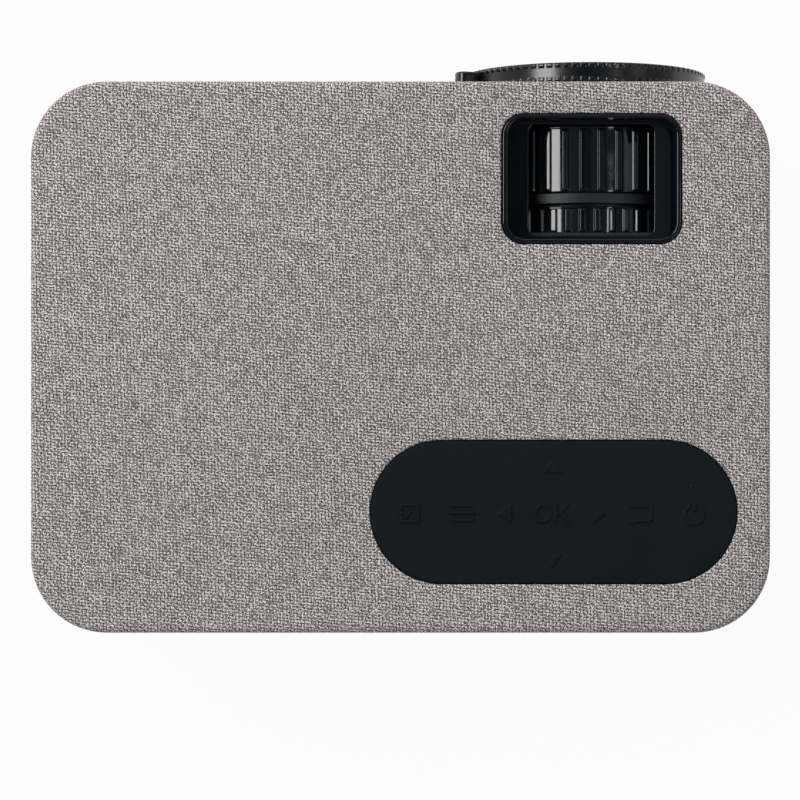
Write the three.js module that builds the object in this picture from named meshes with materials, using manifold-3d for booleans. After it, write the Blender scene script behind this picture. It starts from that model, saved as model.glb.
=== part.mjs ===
// A small desktop projector. A fabric skin covers the roof, a window in it shows the focus ring and
// the keystone ring, a silicone keypad lies behind them, and a cap pulls off the lens at the front.
// Millimetres, +Z up. The lens looks along -Y, and the origin is the middle of the base.

import * as THREE from 'three';
import { mergeVertices } from 'three/addons/utils/BufferGeometryUtils.js';
import Module from 'manifold-3d';

const wasm = await Module();
wasm.setup();

// Clearances and facets
const seam = 0.3; // between neighbours that could move, or that meet at a joint line
const seatGap = 0.2; // under a piece that is glued, clipped or screwed to its seat
const skinGlue = 0.1;
const overrun = 2; // how far a cutting solid passes the face that it cuts
const quarterSteps = 5;
const slotSteps = 1;
const roundSides = 24;
const smallSides = 12;
const edgeSteps = 2;

// Body
const bodyWidth = 200;
const bodyDepth = 149.2;
const bodyHeight = 76;
const bodyCornerRadius = 20.5;
const bodyEdgeRadius = 1.8;
const wall = 2.4;
const roofThickness = 2.4;
const floorThickness = 2.5;
const panHeight = 5; // of the lower housing
const fabricThickness = 0.8;
const fabricSkirt = 6;

// Panels that snap into the upper housing
const panelFlange = 1.2;
const panelLip = 2;
const openingReach = 9;
const frontPanelInset = 14; // from the body's side to the panel's side
const frontPanelMargin = 6.6; // from the roof down to the front panel's top edge
const rearPanelInset = 28;
const rearPanelHeight = 40;
const sidePanelInset = 28.6;
const sidePanelMargin = 16.7;

// Grille slots
const grilleSlotWidth = 2.4;
const grilleMargin = 9; // around the slots, on the side panel
const grillePitch = 5;
const speakerSlotWidth = 2;
const speakerSlotHeight = 28;
const speakerPitch = 4.2;
const speakerSlots = 8;
const floorSlotWidth = 2.2;
const floorSlotLength = 40;
const floorPitch = 4.6;
const floorSlots = 4;

// Case screws and their bosses
const bossRadius = 3.5;
const bossInsetX = 11.5;
const bossInsetY = 14.3;
const screwRadius = 1.3;
const screwLength = 12;
const screwHeadRadius = 2.8;
const screwHeadHeight = 2;
const screwSeatThickness = 2.2;
const screwRecess = 3.2;

// Feet and the tripod socket
const footHeight = 3;
const footRadius = 7;
const footRecess = 0.6;
const footInsetX = 24;
const footInsetY = 20;
const levellerRadius = 9;
const levellerLift = 0.4;
const levellerFromFront = 14.5;
const levellerStudRadius = 3;
const levellerStudLength = 14; // above the base
const levellerSocket = 1.2; // how far the stud stands in its grip
const tripodRadius = 5;
const tripodBore = 3.1;
const tripodLength = 8.5;
const tripodWall = 2.6;

// Lens group, from the inside out
const lensDropShare = 0.5; // of the body's height, from its top down to the lens axis
const lensSideMargin = 18; // from the body's side to the hood
const glassInset = 11.2; // from the hood's rim to the glass
const glassEdge = 3;
const frontBulge = 2.6;
const rearGlassEdge = 2.4;
const rearBulge = 1.8;
const barrelShoulder = 1.6;
const barrelWall = 3;
const barrelLength = 33.5;
const barrelFromFront = 5.3;
const frontPocket = 6.5;
const rearPocket = 6.3;
const sleeveWall = 2.2;
const sleeveFromFront = 8.9;
const focusWall = 3.7;
const focusFromFront = 11.75;
const focusLength = 17.5;
const focusRibs = 36;
const focusPhase = 4.5; // degrees from straight up to the first rib
const bandWall = 3.6;
const bandLength = 3;
const keystoneWall = 2.8;
const keystoneLength = 7.2;
const keystoneRibs = 42;
const keystonePhase = 3.8;
const ribHeight = 0.5;
const ribWidth = 1;
const ribFlank = 0.3;

// Lens hood and cap
const hoodMargin = 8; // from the hood's rim to the top of the body
const hoodProud = 3.3;
const hoodRim = 1.2;
const hoodFunnel = 4.6;
const hoodFlange = 2.5;
const hoodFlangeThickness = 1.5;
const hoodCollarWall = 2.7;
const capProud = 5.6;
const capWall = 4.15;
const capTeeth = 92;
const capToothDepth = 0.6;
const capLugWidth = 5;
const capLugReach = 5.7;
const capLugAngle = 65;
const capLugRadius = 2;

// Window in the roof
const windowWidth = 48.6;
const windowDepth = 35.05;
const windowRadius = 5.9;
const windowFromFront = 8.9;
const windowShift = 0.3;
const windowWall = 0.9;
const windowDrop = 9; // from the top of the body down to the tray around the rings
const trayThickness = 1.5;
const trayOpeningWidth = 34.6;
const trayOpeningDepth = 31.7;
const trayOpeningRadius = 2.5;
const trayFrontShelf = 0.4;
const windowFlange = 2.5;
const windowFlangeThickness = 1.5;

// Keypad
const padWidth = 99.1;
const padDepthShare = 0.3905; // of the pad's width
const padSideMargin = 9.05;
const padFromRear = 32.7;
const padThickness = 3.2;
const padSink = 0.3;
const padFlange = 1.5;
const padFlangeThickness = 1.2;
const padRim = 1.6;
const padEdgeRadius = 0.5;
const padRibWall = 1.6;
const padBoardThickness = 1.6;
const padBoardDrop = 7.7; // from the top of the body down to the keypad board
const keyShares = { radius: 0.0505, okRadius: 0.0616, arrow: 0.1297, menu: 0.2432, end: 0.3875 };
const keyThickness = 2;
const keyTravel = 0.5;
const keyPlay = 0.1;
const keyStemRadius = 2;
const keyRowShift = 0.3;
const keyColumnShift = 0.45;
const switchSize = 6;
const switchHeight = 2;
const indicatorRadius = 0.5;
const indicatorRise = 7.4;

// Raised icons on the keys
const iconHeight = 0.25;
const iconShares = { // of the key's radius
  stroke: 0.16,
  head: 0.3,
  arrow: [1.12, 0.78],
  menu: [1.22, 0.42],
  ok: [2, 1.04],
  square: 1.04,
  back: [1.36, 0.96],
  power: 0.6,
};

// Light engine
const engineWall = 2.2;
const engineMargin = 12.6; // from the top of the body down to the engine's own top
const engineRearMargin = 38.45; // from the engine to the body's rear
const engineCoverThickness = 1.6;
const engineLegRadius = 4;
const engineLegInset = 8;
const mirrorLengthShare = 0.94; // of the engine's inner width
const mirrorHeadroom = 4.8;
const mirrorSideGap = 4;
const mirrorThickness = 2;
const mirrorSeatHeight = 7;
const opticRib = 1.2;
const opticRibReach = 2.5;
const fresnelThickness = 2;
const lcdPlaceShare = 0.484; // of the way from the lens axis to the engine's far end
const fresnelSpacing = 10;
const lcdFrameSideGap = 2;
const lcdFrameHeadroom = 4.4;
const lcdFrameThickness = 4;
const lcdPivotRadius = 1.5;
const lcdFrameSides = 3;
const lcdFrameEnds = 4;
const lcdThickness = 1.6;
const lcdRebate = 2;
const condenserMargin = 1.4;
const condenserEdge = 2;
const condenserBulge = 8;
const ledHoleRadius = 14;
const ledBoardSize = 34;
const ledBoardThickness = 1.6;
const ledSize = 12;
const ledHeight = 1.2;

// Cooling
const heatsinkSize = 50;
const heatsinkDepth = 27;
const heatsinkBase = 3;
const finThickness = 1.2;
const fins = 9;
const finGap = 0.6;
const fanSize = 50;
const fanDepth = 15;
const fanBoreRadius = 23.2;
const fanCornerRadius = 3;
const fanHubRadius = 11;
const fanCupDepth = 3;
const fanStrutWidth = 2.4;
const fanStruts = 3;
const fanRotorInset = 1;
const fanTipGap = 0.7;
const fanBlades = 7;
const fanBladeThickness = 1.2;
const fanBladeChord = 9;
const fanBladePitch = 35;

// Boards, sockets and the speaker
const boardHeight = 9; // of the posts under the main board
const boardThickness = 1.6;
const boardInset = 30;
const boardFrontGap = 4.8;
const boardRearGap = 0.5;
const postRadius = 2.5;
const postInset = 5;
const socketDepth = 15.5;
const socketSink = 0.3;
const hdmiWidth = 15;
const hdmiHeight = 6;
const hdmiShell = 0.6;
const hdmiTongue = 1;
const usbWidth = 13.4;
const usbHeight = 6.2;
const usbShell = 0.5;
const usbTongue = 1.9;
const plugDepth = 10;
const tongueMargin = 1.6;
const avWidth = 11;
const avHeight = 7;
const avBore = 1.8;
const dcWidth = 11;
const dcHeight = 11;
const dcBore = 3;
const dcPin = 1;
const socketShares = { hdmi: 0.2, usb: 0.07, av: -0.05, dc: -0.24 }; // of the body's width
const ribbonWidth = 10;
const ribbonThickness = 0.4;
const ribbonFromRear = 19;
const speakerFromSide = 55;
const speakerRadius = 19;
const speakerRim = 3;
const speakerConeDepth = 8;
const magnetRadius = 12;
const magnetDepth = 8;
const irRadius = 3.5;
const irAboveAxis = 12;
const irPlace = 6;

// Places that follow from the sizes
const bodyCentreY = capProud / 2;
const frontY = bodyCentreY - bodyDepth / 2;
const rearY = bodyCentreY + bodyDepth / 2;
const sideX = bodyWidth / 2;
const baseZ = footHeight;
const topZ = footHeight + bodyHeight;
const floorZ = baseZ + floorThickness;
const partingZ = baseZ + panHeight;
const skirtZ = topZ - fabricSkirt;
const skinDepth = fabricThickness + skinGlue;
const lidZ = topZ - skinDepth;
const roofZ = lidZ - roofThickness;
const panelDepth = wall + seam + panelFlange;
const panelZ = partingZ + seam;

const hoodRadius = bodyHeight * lensDropShare - hoodMargin;
const glassRadius = hoodRadius - glassInset;
const lensX = lensSideMargin + hoodRadius - sideX;
const lensZ = topZ - bodyHeight * lensDropShare;
const pocketRadius = glassRadius + seatGap;
const barrelRadius = pocketRadius + barrelWall;
const sleeveBore = barrelRadius + seam;
const sleeveRadius = sleeveBore + sleeveWall;
const ringBore = sleeveRadius + seam;
const focusRadius = ringBore + focusWall;
const keystoneRadius = ringBore + keystoneWall;
const bandRadius = ringBore + bandWall;
const focusY = frontY + focusFromFront;
const bandY = focusY + focusLength + seam;
const keystoneY = bandY + bandLength + seam;
const engineY = keystoneY + keystoneLength + seam;
const sleeveY = frontY + sleeveFromFront;
const barrelY = frontY + barrelFromFront;
const barrelEndY = barrelY + barrelLength;
const hoodY = frontY - hoodProud;
const capY = frontY - capProud;
const capRadius = hoodRadius + seam + capWall;

const windowX = lensX + windowShift;
const windowY = frontY + windowFromFront + windowDepth / 2;
const trayZ = topZ - windowDrop;
const trayOpeningX = lensX - windowShift;
const trayOpeningY = frontY + windowFromFront + windowWall + trayFrontShelf + trayOpeningDepth / 2;

const padDepth = padWidth * padDepthShare;
const padX = padSideMargin + padWidth / 2 - sideX;
const padY = rearY - padFromRear;
const padZ = topZ - padSink;
const padFlangeZ = roofZ - seatGap;
const padBoardZ = topZ - padBoardDrop;
const keyRowY = padY + keyRowShift;
const keyColumnX = padX + keyColumnShift;
const keyRadius = padWidth * keyShares.radius;
const okKeyRadius = padWidth * keyShares.okRadius;
const arrowReach = padWidth * keyShares.arrow;
const menuReach = padWidth * keyShares.menu;
const endReach = padWidth * keyShares.end;
const iconStroke = keyRadius * iconShares.stroke;
const iconArrowHead = keyRadius * iconShares.head;

const engineRearY = rearY - engineRearMargin;
const engineInside = engineRearY - engineY - 2 * engineWall;
const engineReach = bodyHeight * lensDropShare - engineMargin;
const axisY = engineY + engineWall + engineInside / 2;
const mirrorLength = engineInside * mirrorLengthShare;
const mirrorHeight = 2 * engineReach - mirrorHeadroom;
const mirrorHalf = mirrorLength / 2 * Math.SQRT1_2;
const engineLeftX = lensX - mirrorHalf - mirrorSideGap - engineWall;
const fanEndX = sideX - panelDepth - seatGap;
const fanX = fanEndX - fanDepth;
const heatsinkX = fanX - finGap - heatsinkDepth;
const ledBoardX = heatsinkX - seatGap - ledBoardThickness;
const engineRightX = ledBoardX - seatGap;
const engineFloorZ = lensZ - engineReach;
const engineTopZ = lensZ + engineReach;
const engineZ = engineFloorZ - engineWall;
const condenserRadius = Math.min(engineReach, engineInside / 2) - condenserMargin;
const lcdX = lensX + (engineRightX - lensX) * lcdPlaceShare;
const lcdFrameWidth = engineInside - 2 * lcdFrameSideGap;
const lcdFrameHeight = 2 * (engineReach - lcdFrameHeadroom);
const lcdWidth = lcdFrameWidth - 2 * lcdFrameSides;
const lcdHeight = lcdFrameHeight - 2 * lcdFrameEnds;

const boardWidth = bodyWidth - 2 * boardInset;
const boardZ = floorZ + boardHeight;
const boardTopZ = boardZ + boardThickness;
const boardY = engineRearY + boardFrontGap;
const boardRearY = rearY - panelDepth - boardRearGap;
const socketZ = boardTopZ + seatGap;
const socketRearY = rearY - socketSink;
const speakerX = sideX - speakerFromSide;
const levellerY = frontY + levellerFromFront;
const levellerGrip = footHeight - levellerLift - seam;

// Solids: closed shapes that can be joined and cut
function solid(geometry) {
  geometry.deleteAttribute('normal');
  geometry.deleteAttribute('uv');
  const merged = mergeVertices(geometry);
  const corners = Array.from(merged.index.array);
  const triangles = [];
  for (let i = 0; i < corners.length; i += 3) {
    const [a, b, c] = corners.slice(i, i + 3);
    if (a !== b && b !== c && c !== a) triangles.push(a, b, c);
  }
  const mesh = new wasm.Mesh({
    numProp: 3,
    vertProperties: new Float32Array(merged.attributes.position.array),
    triVerts: new Uint32Array(triangles),
  });
  return new wasm.Manifold(mesh);
}

function join(...solids) {
  return solids.reduce((whole, next) => whole.add(next));
}

function cut(whole, ...tools) {
  return tools.reduce((rest, tool) => rest.subtract(tool), whole);
}

// An outline is drawn in (X, Y) for a prism along z, (X, Z) along y, and (Y, Z) along x.
const axisFrames = {
  x: [[0, 1, 0], [0, 0, 1], [1, 0, 0]],
  y: [[1, 0, 0], [0, 0, 1], [0, -1, 0]],
  z: [[1, 0, 0], [0, 1, 0], [0, 0, 1]],
};

function prism(axis, outline, [start, end], { holes = [], edge = 0, steps = edgeSteps } = {}) {
  const shape = new THREE.Shape(outline);
  shape.holes = holes.map((hole) => new THREE.Path(hole));
  const geometry = new THREE.ExtrudeGeometry(shape, {
    depth: end - start - 2 * edge,
    bevelEnabled: edge > 0,
    bevelThickness: edge,
    bevelSize: edge,
    bevelOffset: -edge,
    bevelSegments: steps,
  });
  geometry.translate(0, 0, edge + (axis === 'y' ? -end : start));
  const directions = axisFrames[axis].map((direction) => new THREE.Vector3(...direction));
  geometry.applyMatrix4(new THREE.Matrix4().makeBasis(...directions));
  return solid(geometry);
}

function block([x0, x1], [y0, y1], [z0, z1]) {
  const geometry = new THREE.BoxGeometry(x1 - x0, y1 - y0, z1 - z0);
  geometry.translate((x0 + x1) / 2, (y0 + y1) / 2, (z0 + z1) / 2);
  return solid(geometry);
}

// A span is a pair of coordinates; around() and grow() keep them short.
function around(centre, size) {
  return [centre - size / 2, centre + size / 2];
}

function grow([start, end], amount) {
  return [start - amount, end + amount];
}

function roundedRectangle([centreX, centreY], width, height, radius, steps = quarterSteps) {
  const points = [];
  const corners = [[1, 1], [-1, 1], [-1, -1], [1, -1]];
  corners.forEach(([sideways, upwards], quarter) => {
    for (let step = 0; step <= steps; step += 1) {
      const angle = (quarter + step / steps) * Math.PI / 2;
      const point = new THREE.Vector2(
        centreX + sideways * (width / 2 - radius) + radius * Math.cos(angle),
        centreY + upwards * (height / 2 - radius) + radius * Math.sin(angle),
      );
      const last = points.at(-1);
      if (!last || last.distanceTo(point) > radius / 1000) points.push(point);
    }
  });
  if (points.at(-1).distanceTo(points[0]) < radius / 1000) points.pop();
  return points;
}

function circle([centreX, centreY], radius, sides = roundSides) {
  return Array.from({ length: sides }, (_, i) => {
    const angle = i / sides * Math.PI * 2;
    return new THREE.Vector2(centreX + radius * Math.cos(angle), centreY + radius * Math.sin(angle));
  });
}

function rod(axis, centre, radius, span, sides = roundSides) {
  return prism(axis, circle(centre, radius, sides), span);
}

function tube(axis, centre, [inner, outer], span, sides = roundSides) {
  return prism(axis, circle(centre, outer, sides), span, { holes: [circle(centre, inner, sides)] });
}

// A solid turned about the Y axis from a closed profile of [radius, y] points
function turned(profile, sides = roundSides) {
  const points = profile.map(([radius, y]) => new THREE.Vector2(radius, y));
  if (THREE.ShapeUtils.area(points) < 0) points.reverse();
  const onAxis = points.filter((point) => point.x === 0).length > 1;
  if (onAxis) {
    while (!(points[0].x === 0 && points.at(-1).x === 0)) points.push(points.shift());
  } else {
    points.push(points[0].clone());
  }
  return solid(new THREE.LatheGeometry(points, sides));
}

function placed(outline, turnDegrees, [x, y]) {
  const angle = THREE.MathUtils.degToRad(turnDegrees);
  const origin = new THREE.Vector2(0, 0);
  return outline.map((point) => point.clone().rotateAround(origin, angle).add(new THREE.Vector2(x, y)));
}

function ribbedOutline(radius, count, phase) {
  const points = [];
  const half = ribWidth / 2;
  for (let i = 0; i < count; i += 1) {
    const centre = Math.PI / 2 + THREE.MathUtils.degToRad(phase) + i / count * Math.PI * 2;
    const corners = [
      [radius, -half - ribFlank],
      [radius + ribHeight, -half],
      [radius + ribHeight, half],
      [radius, half + ribFlank],
    ];
    for (const [reach, side] of corners) {
      const angle = centre + side / radius;
      points.push(new THREE.Vector2(reach * Math.cos(angle), reach * Math.sin(angle)));
    }
  }
  return points;
}

// Scene: one named mesh for each piece
const projector = new THREE.Group();
const lens = new THREE.Group();
lens.position.set(lensX, 0, lensZ);
projector.add(lens);

const finishes = {
  fabric: { color: '#94908d', roughness: 0.95, metalness: 0 },
  housing: { color: '#222326', roughness: 0.55, metalness: 0 },
  gloss: { color: '#0b0c0e', roughness: 0.12, metalness: 0 },
  satin: { color: '#2f3336', roughness: 0.4, metalness: 0 },
  silicone: { color: '#1a1e21', roughness: 0.7, metalness: 0 },
  rubber: { color: '#161616', roughness: 0.9, metalness: 0 },
  glass: { color: '#b9c8d4', roughness: 0.05, metalness: 0, transparent: true, opacity: 0.4 },
  mirror: { color: '#e4e8ea', roughness: 0.03, metalness: 1 },
  aluminium: { color: '#b4b7ba', roughness: 0.35, metalness: 1 },
  steel: { color: '#8c8f92', roughness: 0.3, metalness: 1 },
  brass: { color: '#b08d4a', roughness: 0.3, metalness: 1 },
  board: { color: '#1d5034', roughness: 0.5, metalness: 0 },
  lcd: { color: '#3a4650', roughness: 0.1, metalness: 0 },
  ribbon: { color: '#d9d6cc', roughness: 0.5, metalness: 0 },
};

function piece(name, body, finish, group = projector, place = [0, 0, 0]) {
  const { vertProperties, triVerts } = body.getMesh();
  const geometry = new THREE.BufferGeometry();
  geometry.setAttribute('position', new THREE.BufferAttribute(new Float32Array(vertProperties), 3));
  geometry.setIndex(new THREE.BufferAttribute(new Uint32Array(triVerts), 1));
  geometry.computeVertexNormals();
  const mesh = new THREE.Mesh(geometry, new THREE.MeshStandardMaterial(finishes[finish]));
  mesh.name = name;
  mesh.position.set(...place);
  group.add(mesh);
}

// Outer shells
function bodyOutline(inset) {
  const radius = bodyCornerRadius - inset;
  return roundedRectangle([0, bodyCentreY], bodyWidth - 2 * inset, bodyDepth - 2 * inset, radius);
}

function bodyRing(inset, thickness, span) {
  const inner = prism('z', bodyOutline(inset + thickness), grow(span, overrun));
  return cut(prism('z', bodyOutline(inset), span), inner);
}

function windowOutline(margin) {
  const [width, depth] = [windowWidth + 2 * margin, windowDepth + 2 * margin];
  return roundedRectangle([windowX, windowY], width, depth, windowRadius + margin);
}

function padOutline(margin) {
  const [width, depth] = [padWidth + 2 * margin, padDepth + 2 * margin];
  return roundedRectangle([padX, padY], width, depth, depth / 2);
}

const openings = {
  front: {
    x: around(0, bodyWidth - 2 * frontPanelInset),
    y: [frontY - overrun, frontY + openingReach],
    z: [panelZ, topZ - frontPanelMargin],
    lip: [panelLip, 0],
  },
  rear: {
    x: around(0, bodyWidth - 2 * rearPanelInset),
    y: [rearY - openingReach, rearY + overrun],
    z: [panelZ, panelZ + rearPanelHeight],
    lip: [panelLip, 0],
  },
  left: {
    x: [sideX - openingReach, sideX + overrun],
    y: around(bodyCentreY, bodyDepth - 2 * sidePanelInset),
    z: [panelZ, topZ - sidePanelMargin],
    lip: [0, panelLip],
  },
  right: {
    x: [-sideX - overrun, openingReach - sideX],
    y: around(bodyCentreY, bodyDepth - 2 * sidePanelInset),
    z: [panelZ, topZ - sidePanelMargin],
    lip: [0, panelLip],
  },
};

function openingBlock({ x, y, z, lip }) {
  const [lipX, lipY] = lip.map((amount) => (amount > 0 ? seam : 0));
  return block(grow(x, lipX), grow(y, lipY), [partingZ - overrun, z[1] + seam]);
}

// A panel fills its opening and hooks behind the housing with a lip at the sides and the top.
function panel({ x, y, z, lip }) {
  const core = bodyRing(0, panelDepth, z).intersect(block(x, y, z));
  const lipSpan = [z[0], z[1] + panelLip];
  const hook = bodyRing(wall + seam, panelFlange, lipSpan)
    .intersect(block(grow(x, lip[0]), grow(y, lip[1]), lipSpan));
  return join(core, hook);
}

function slots(axis, [centreAcross, centreUp], count, pitch, width, height, span) {
  return Array.from({ length: count }, (_, i) => {
    const across = centreAcross + (i - (count - 1) / 2) * pitch;
    const outline = roundedRectangle([across, centreUp], width, height, width / 2, slotSteps);
    return prism(axis, outline, span);
  });
}

const bossPlaces = [-1, 1].flatMap((sideways) => [
  [sideways * (sideX - bossInsetX), frontY + bossInsetY],
  [sideways * (sideX - bossInsetX), rearY - bossInsetY],
]);
const screwSeatZ = baseZ + screwRecess + screwSeatThickness;
const screwEndZ = baseZ + screwRecess + screwLength;

function upperHousing() {
  const lowWall = prism('z', bodyOutline(0), [panelZ, skirtZ - seam]);
  const lid = prism('z', bodyOutline(skinDepth), [panelZ, lidZ], { edge: bodyEdgeRadius - skinDepth });
  const cavity = prism('z', bodyOutline(wall), [panelZ - overrun, roofZ]);
  const throughRoof = [roofZ - overrun, lidZ + overrun];
  const shell = cut(
    join(lowWall, lid),
    cavity,
    ...Object.values(openings).map(openingBlock),
    prism('z', windowOutline(seam), throughRoof),
    prism('z', padOutline(seam), throughRoof),
  );
  const ribInner = padOutline(padFlange + seam);
  const rib = prism('z', padOutline(padFlange + seam + padRibWall), [padBoardZ + seatGap, lidZ - seam], {
    holes: [ribInner],
  });
  const bosses = bossPlaces.map((place) => (
    rod('z', place, bossRadius, [screwSeatZ + seatGap, lidZ - seam], smallSides)
  ));
  const cores = bossPlaces.map((place) => (
    rod('z', place, screwRadius + seam, [baseZ, screwEndZ + seam], smallSides)
  ));
  return cut(join(shell, rib, ...bosses), ...cores);
}

function fabricCover() {
  const outer = prism('z', bodyOutline(0), [skirtZ - bodyEdgeRadius, topZ], { edge: bodyEdgeRadius });
  const innerSpan = [skirtZ - bodyEdgeRadius - overrun, topZ - fabricThickness];
  const innerEdge = bodyEdgeRadius - fabricThickness;
  const inner = prism('z', bodyOutline(fabricThickness), innerSpan, { edge: innerEdge });
  const below = prism('z', bodyOutline(-overrun), [skirtZ - bodyEdgeRadius - overrun, skirtZ]);
  const throughSkin = [skirtZ, topZ + overrun];
  const windowHole = prism('z', windowOutline(seam), throughSkin);
  const padHole = prism('z', padOutline(seam), throughSkin);
  return cut(outer, inner, below, windowHole, padHole);
}

const footPlaces = [-1, 1].flatMap((sideways) => [
  [sideways * (sideX - footInsetX), frontY + footInsetY],
  [sideways * (sideX - footInsetX), rearY - footInsetY],
]);
const postPlaces = [-1, 1].flatMap((sideways) => [
  [sideways * (boardWidth / 2 - postInset), boardY + postInset],
  [sideways * (boardWidth / 2 - postInset), boardRearY - postInset],
]);
const tripodPlace = [0, bodyCentreY];
const levellerPlace = [0, levellerY];
const tripodEndZ = baseZ + seam + tripodLength;

function lowerHousing() {
  const rise = (place, radius, top, sides = smallSides) => (
    rod('z', place, radius, [baseZ + footRecess, top], sides)
  );
  const pit = (place, radius, top, sides = smallSides) => (
    rod('z', place, radius, [baseZ - overrun, top], sides)
  );
  const panTop = partingZ + bodyEdgeRadius;
  const outer = prism('z', bodyOutline(0), [baseZ, panTop], { edge: bodyEdgeRadius });
  const above = prism('z', bodyOutline(-overrun), [partingZ, panTop + overrun]);
  const inside = prism('z', bodyOutline(wall), [floorZ, partingZ + overrun]);
  const levellerTop = baseZ + levellerStudLength;
  const solids = [
    ...bossPlaces.map((place) => rise(place, bossRadius, screwSeatZ)),
    ...postPlaces.map((place) => rise(place, postRadius, boardZ - seatGap)),
    rise(tripodPlace, tripodRadius + tripodWall, tripodEndZ + seatGap + seam, roundSides),
    rise(levellerPlace, levellerStudRadius + seam + wall, levellerTop),
  ];
  const hollows = [
    ...bossPlaces.map((place) => pit(place, screwRadius + seam, screwSeatZ + overrun)),
    ...bossPlaces.map((place) => pit(place, screwHeadRadius + seam, baseZ + screwRecess)),
    ...footPlaces.map((place) => pit(place, footRadius + seam, baseZ + footRecess, roundSides)),
    pit(tripodPlace, tripodRadius + seatGap, tripodEndZ + seatGap, roundSides),
    pit(levellerPlace, levellerStudRadius + seam, levellerTop + overrun),
  ];
  const ventCentre = [fanX - heatsinkDepth / 2, axisY];
  const vents = slots('z', ventCentre, floorSlots, floorPitch, floorSlotWidth, floorSlotLength,
    [baseZ - overrun, floorZ + overrun]);
  return cut(join(cut(outer, above, inside), ...solids), ...hollows, ...vents);
}

const lensPlace = [lensX, lensZ];

function frontPanel() {
  const throughPanel = grow([frontY, frontY + panelDepth], overrun);
  return cut(
    panel(openings.front),
    rod('y', lensPlace, hoodRadius + seam, throughPanel),
    rod('y', lensPlace, hoodRadius + hoodFlange + seam, [frontY + panelDepth, frontY + openingReach]),
    rod('y', [irPlace, lensZ + irAboveAxis], irRadius + seam, throughPanel, smallSides),
    ...slots('y', [speakerX, lensZ], speakerSlots, speakerPitch, speakerSlotWidth, speakerSlotHeight,
      throughPanel),
  );
}

function sideGrille(opening, span) {
  const { y, z } = opening;
  const across = y[1] - y[0] - 2 * grilleMargin - grilleSlotWidth;
  const count = 1 + Math.floor(across / grillePitch);
  const height = z[1] - z[0] - 2 * grilleMargin;
  const centre = [(y[0] + y[1]) / 2, (z[0] + z[1]) / 2];
  return cut(panel(opening), ...slots('x', centre, count, grillePitch, grilleSlotWidth, height, span));
}

// Sockets stand on the main board and reach through the rear panel.
const sockets = {
  hdmi: { x: around(bodyWidth * socketShares.hdmi, hdmiWidth), z: [socketZ, socketZ + hdmiHeight] },
  usb: { x: around(bodyWidth * socketShares.usb, usbWidth), z: [socketZ, socketZ + usbHeight] },
  av: { x: around(bodyWidth * socketShares.av, avWidth), z: [socketZ, socketZ + avHeight] },
  dc: { x: around(bodyWidth * socketShares.dc, dcWidth), z: [socketZ, socketZ + dcHeight] },
};
const socketSpan = [socketRearY - socketDepth, socketRearY];
const plugSpan = [socketRearY - plugDepth, socketRearY + overrun];

function rearPanel() {
  const throughPanel = [rearY - panelDepth - overrun, rearY + overrun];
  const holes = Object.values(sockets).map(({ x, z }) => block(grow(x, seam), throughPanel, grow(z, seam)));
  return cut(panel(openings.rear), ...holes);
}

function tongueSocket({ x, z }, shell, tongue) {
  const mouth = block(grow(x, -shell), plugSpan, grow(z, -shell));
  const middle = (z[0] + z[1]) / 2;
  const blade = block(grow(x, -tongueMargin - shell), [plugSpan[0] - shell, socketRearY - tongueMargin],
    around(middle, tongue));
  return join(cut(block(x, socketSpan, z), mouth), blade);
}

function roundSocket({ x, z }, bore, pin) {
  const middle = [(x[0] + x[1]) / 2, (z[0] + z[1]) / 2];
  const body = cut(block(x, socketSpan, z), rod('y', middle, bore, plugSpan, smallSides));
  if (pin === 0) return body;
  return join(body, rod('y', middle, pin, [plugSpan[0] - pin, socketRearY - tongueMargin], smallSides));
}

piece('lower_housing', lowerHousing(), 'housing');
piece('upper_housing', upperHousing(), 'housing');
piece('fabric_cover', fabricCover(), 'fabric');
piece('front_panel', frontPanel(), 'gloss');
piece('rear_panel', rearPanel(), 'housing');
piece('exhaust_grille', sideGrille(openings.left, [sideX - openingReach, sideX + overrun]), 'housing');
piece('intake_grille', sideGrille(openings.right, [-sideX - overrun, openingReach - sideX]), 'housing');

// Feet, screws and the tripod socket
footPlaces.forEach(([x, y], i) => {
  const foot = rod('z', [0, 0], footRadius, [0, footHeight + footRecess - seatGap]);
  piece(`rubber_foot_${i + 1}`, foot, 'rubber', projector, [x, y, baseZ - footHeight]);
});

bossPlaces.forEach(([x, y], i) => {
  const head = rod('z', [0, 0], screwHeadRadius, [-seatGap - screwHeadHeight, -seatGap], smallSides);
  const shank = rod('z', [0, 0], screwRadius, [-screwHeadHeight, screwLength - seatGap], smallSides);
  piece(`case_screw_${i + 1}`, join(head, shank), 'steel', projector, [x, y, baseZ + screwRecess]);
});

const [tripodX, tripodY] = tripodPlace;
const tripodTube = tube('z', [0, 0], [tripodBore, tripodRadius], [0, tripodLength]);
piece('tripod_insert', tripodTube, 'brass', projector, [tripodX, tripodY, baseZ + seam]);

const levellerZ = baseZ - footHeight + levellerLift;
const studSpan = [levellerGrip - levellerSocket, levellerGrip + seam + levellerStudLength];
const [levellerX] = levellerPlace;
piece('foot_stud', rod('z', [0, 0], levellerStudRadius, studSpan, smallSides), 'steel', projector,
  [levellerX, levellerY, levellerZ]);
const knobOutline = circle([0, 0], levellerRadius);
const knobPocket = circle([0, 0], levellerStudRadius + seam, smallSides);
const knobRing = prism('z', knobOutline, [0, levellerGrip], { holes: [knobPocket] });
const knobBase = rod('z', [0, 0], levellerRadius, [0, levellerGrip - levellerSocket - seam]);
piece('foot_knob', join(knobRing, knobBase), 'rubber', projector, [levellerX, levellerY, levellerZ]);

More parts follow.
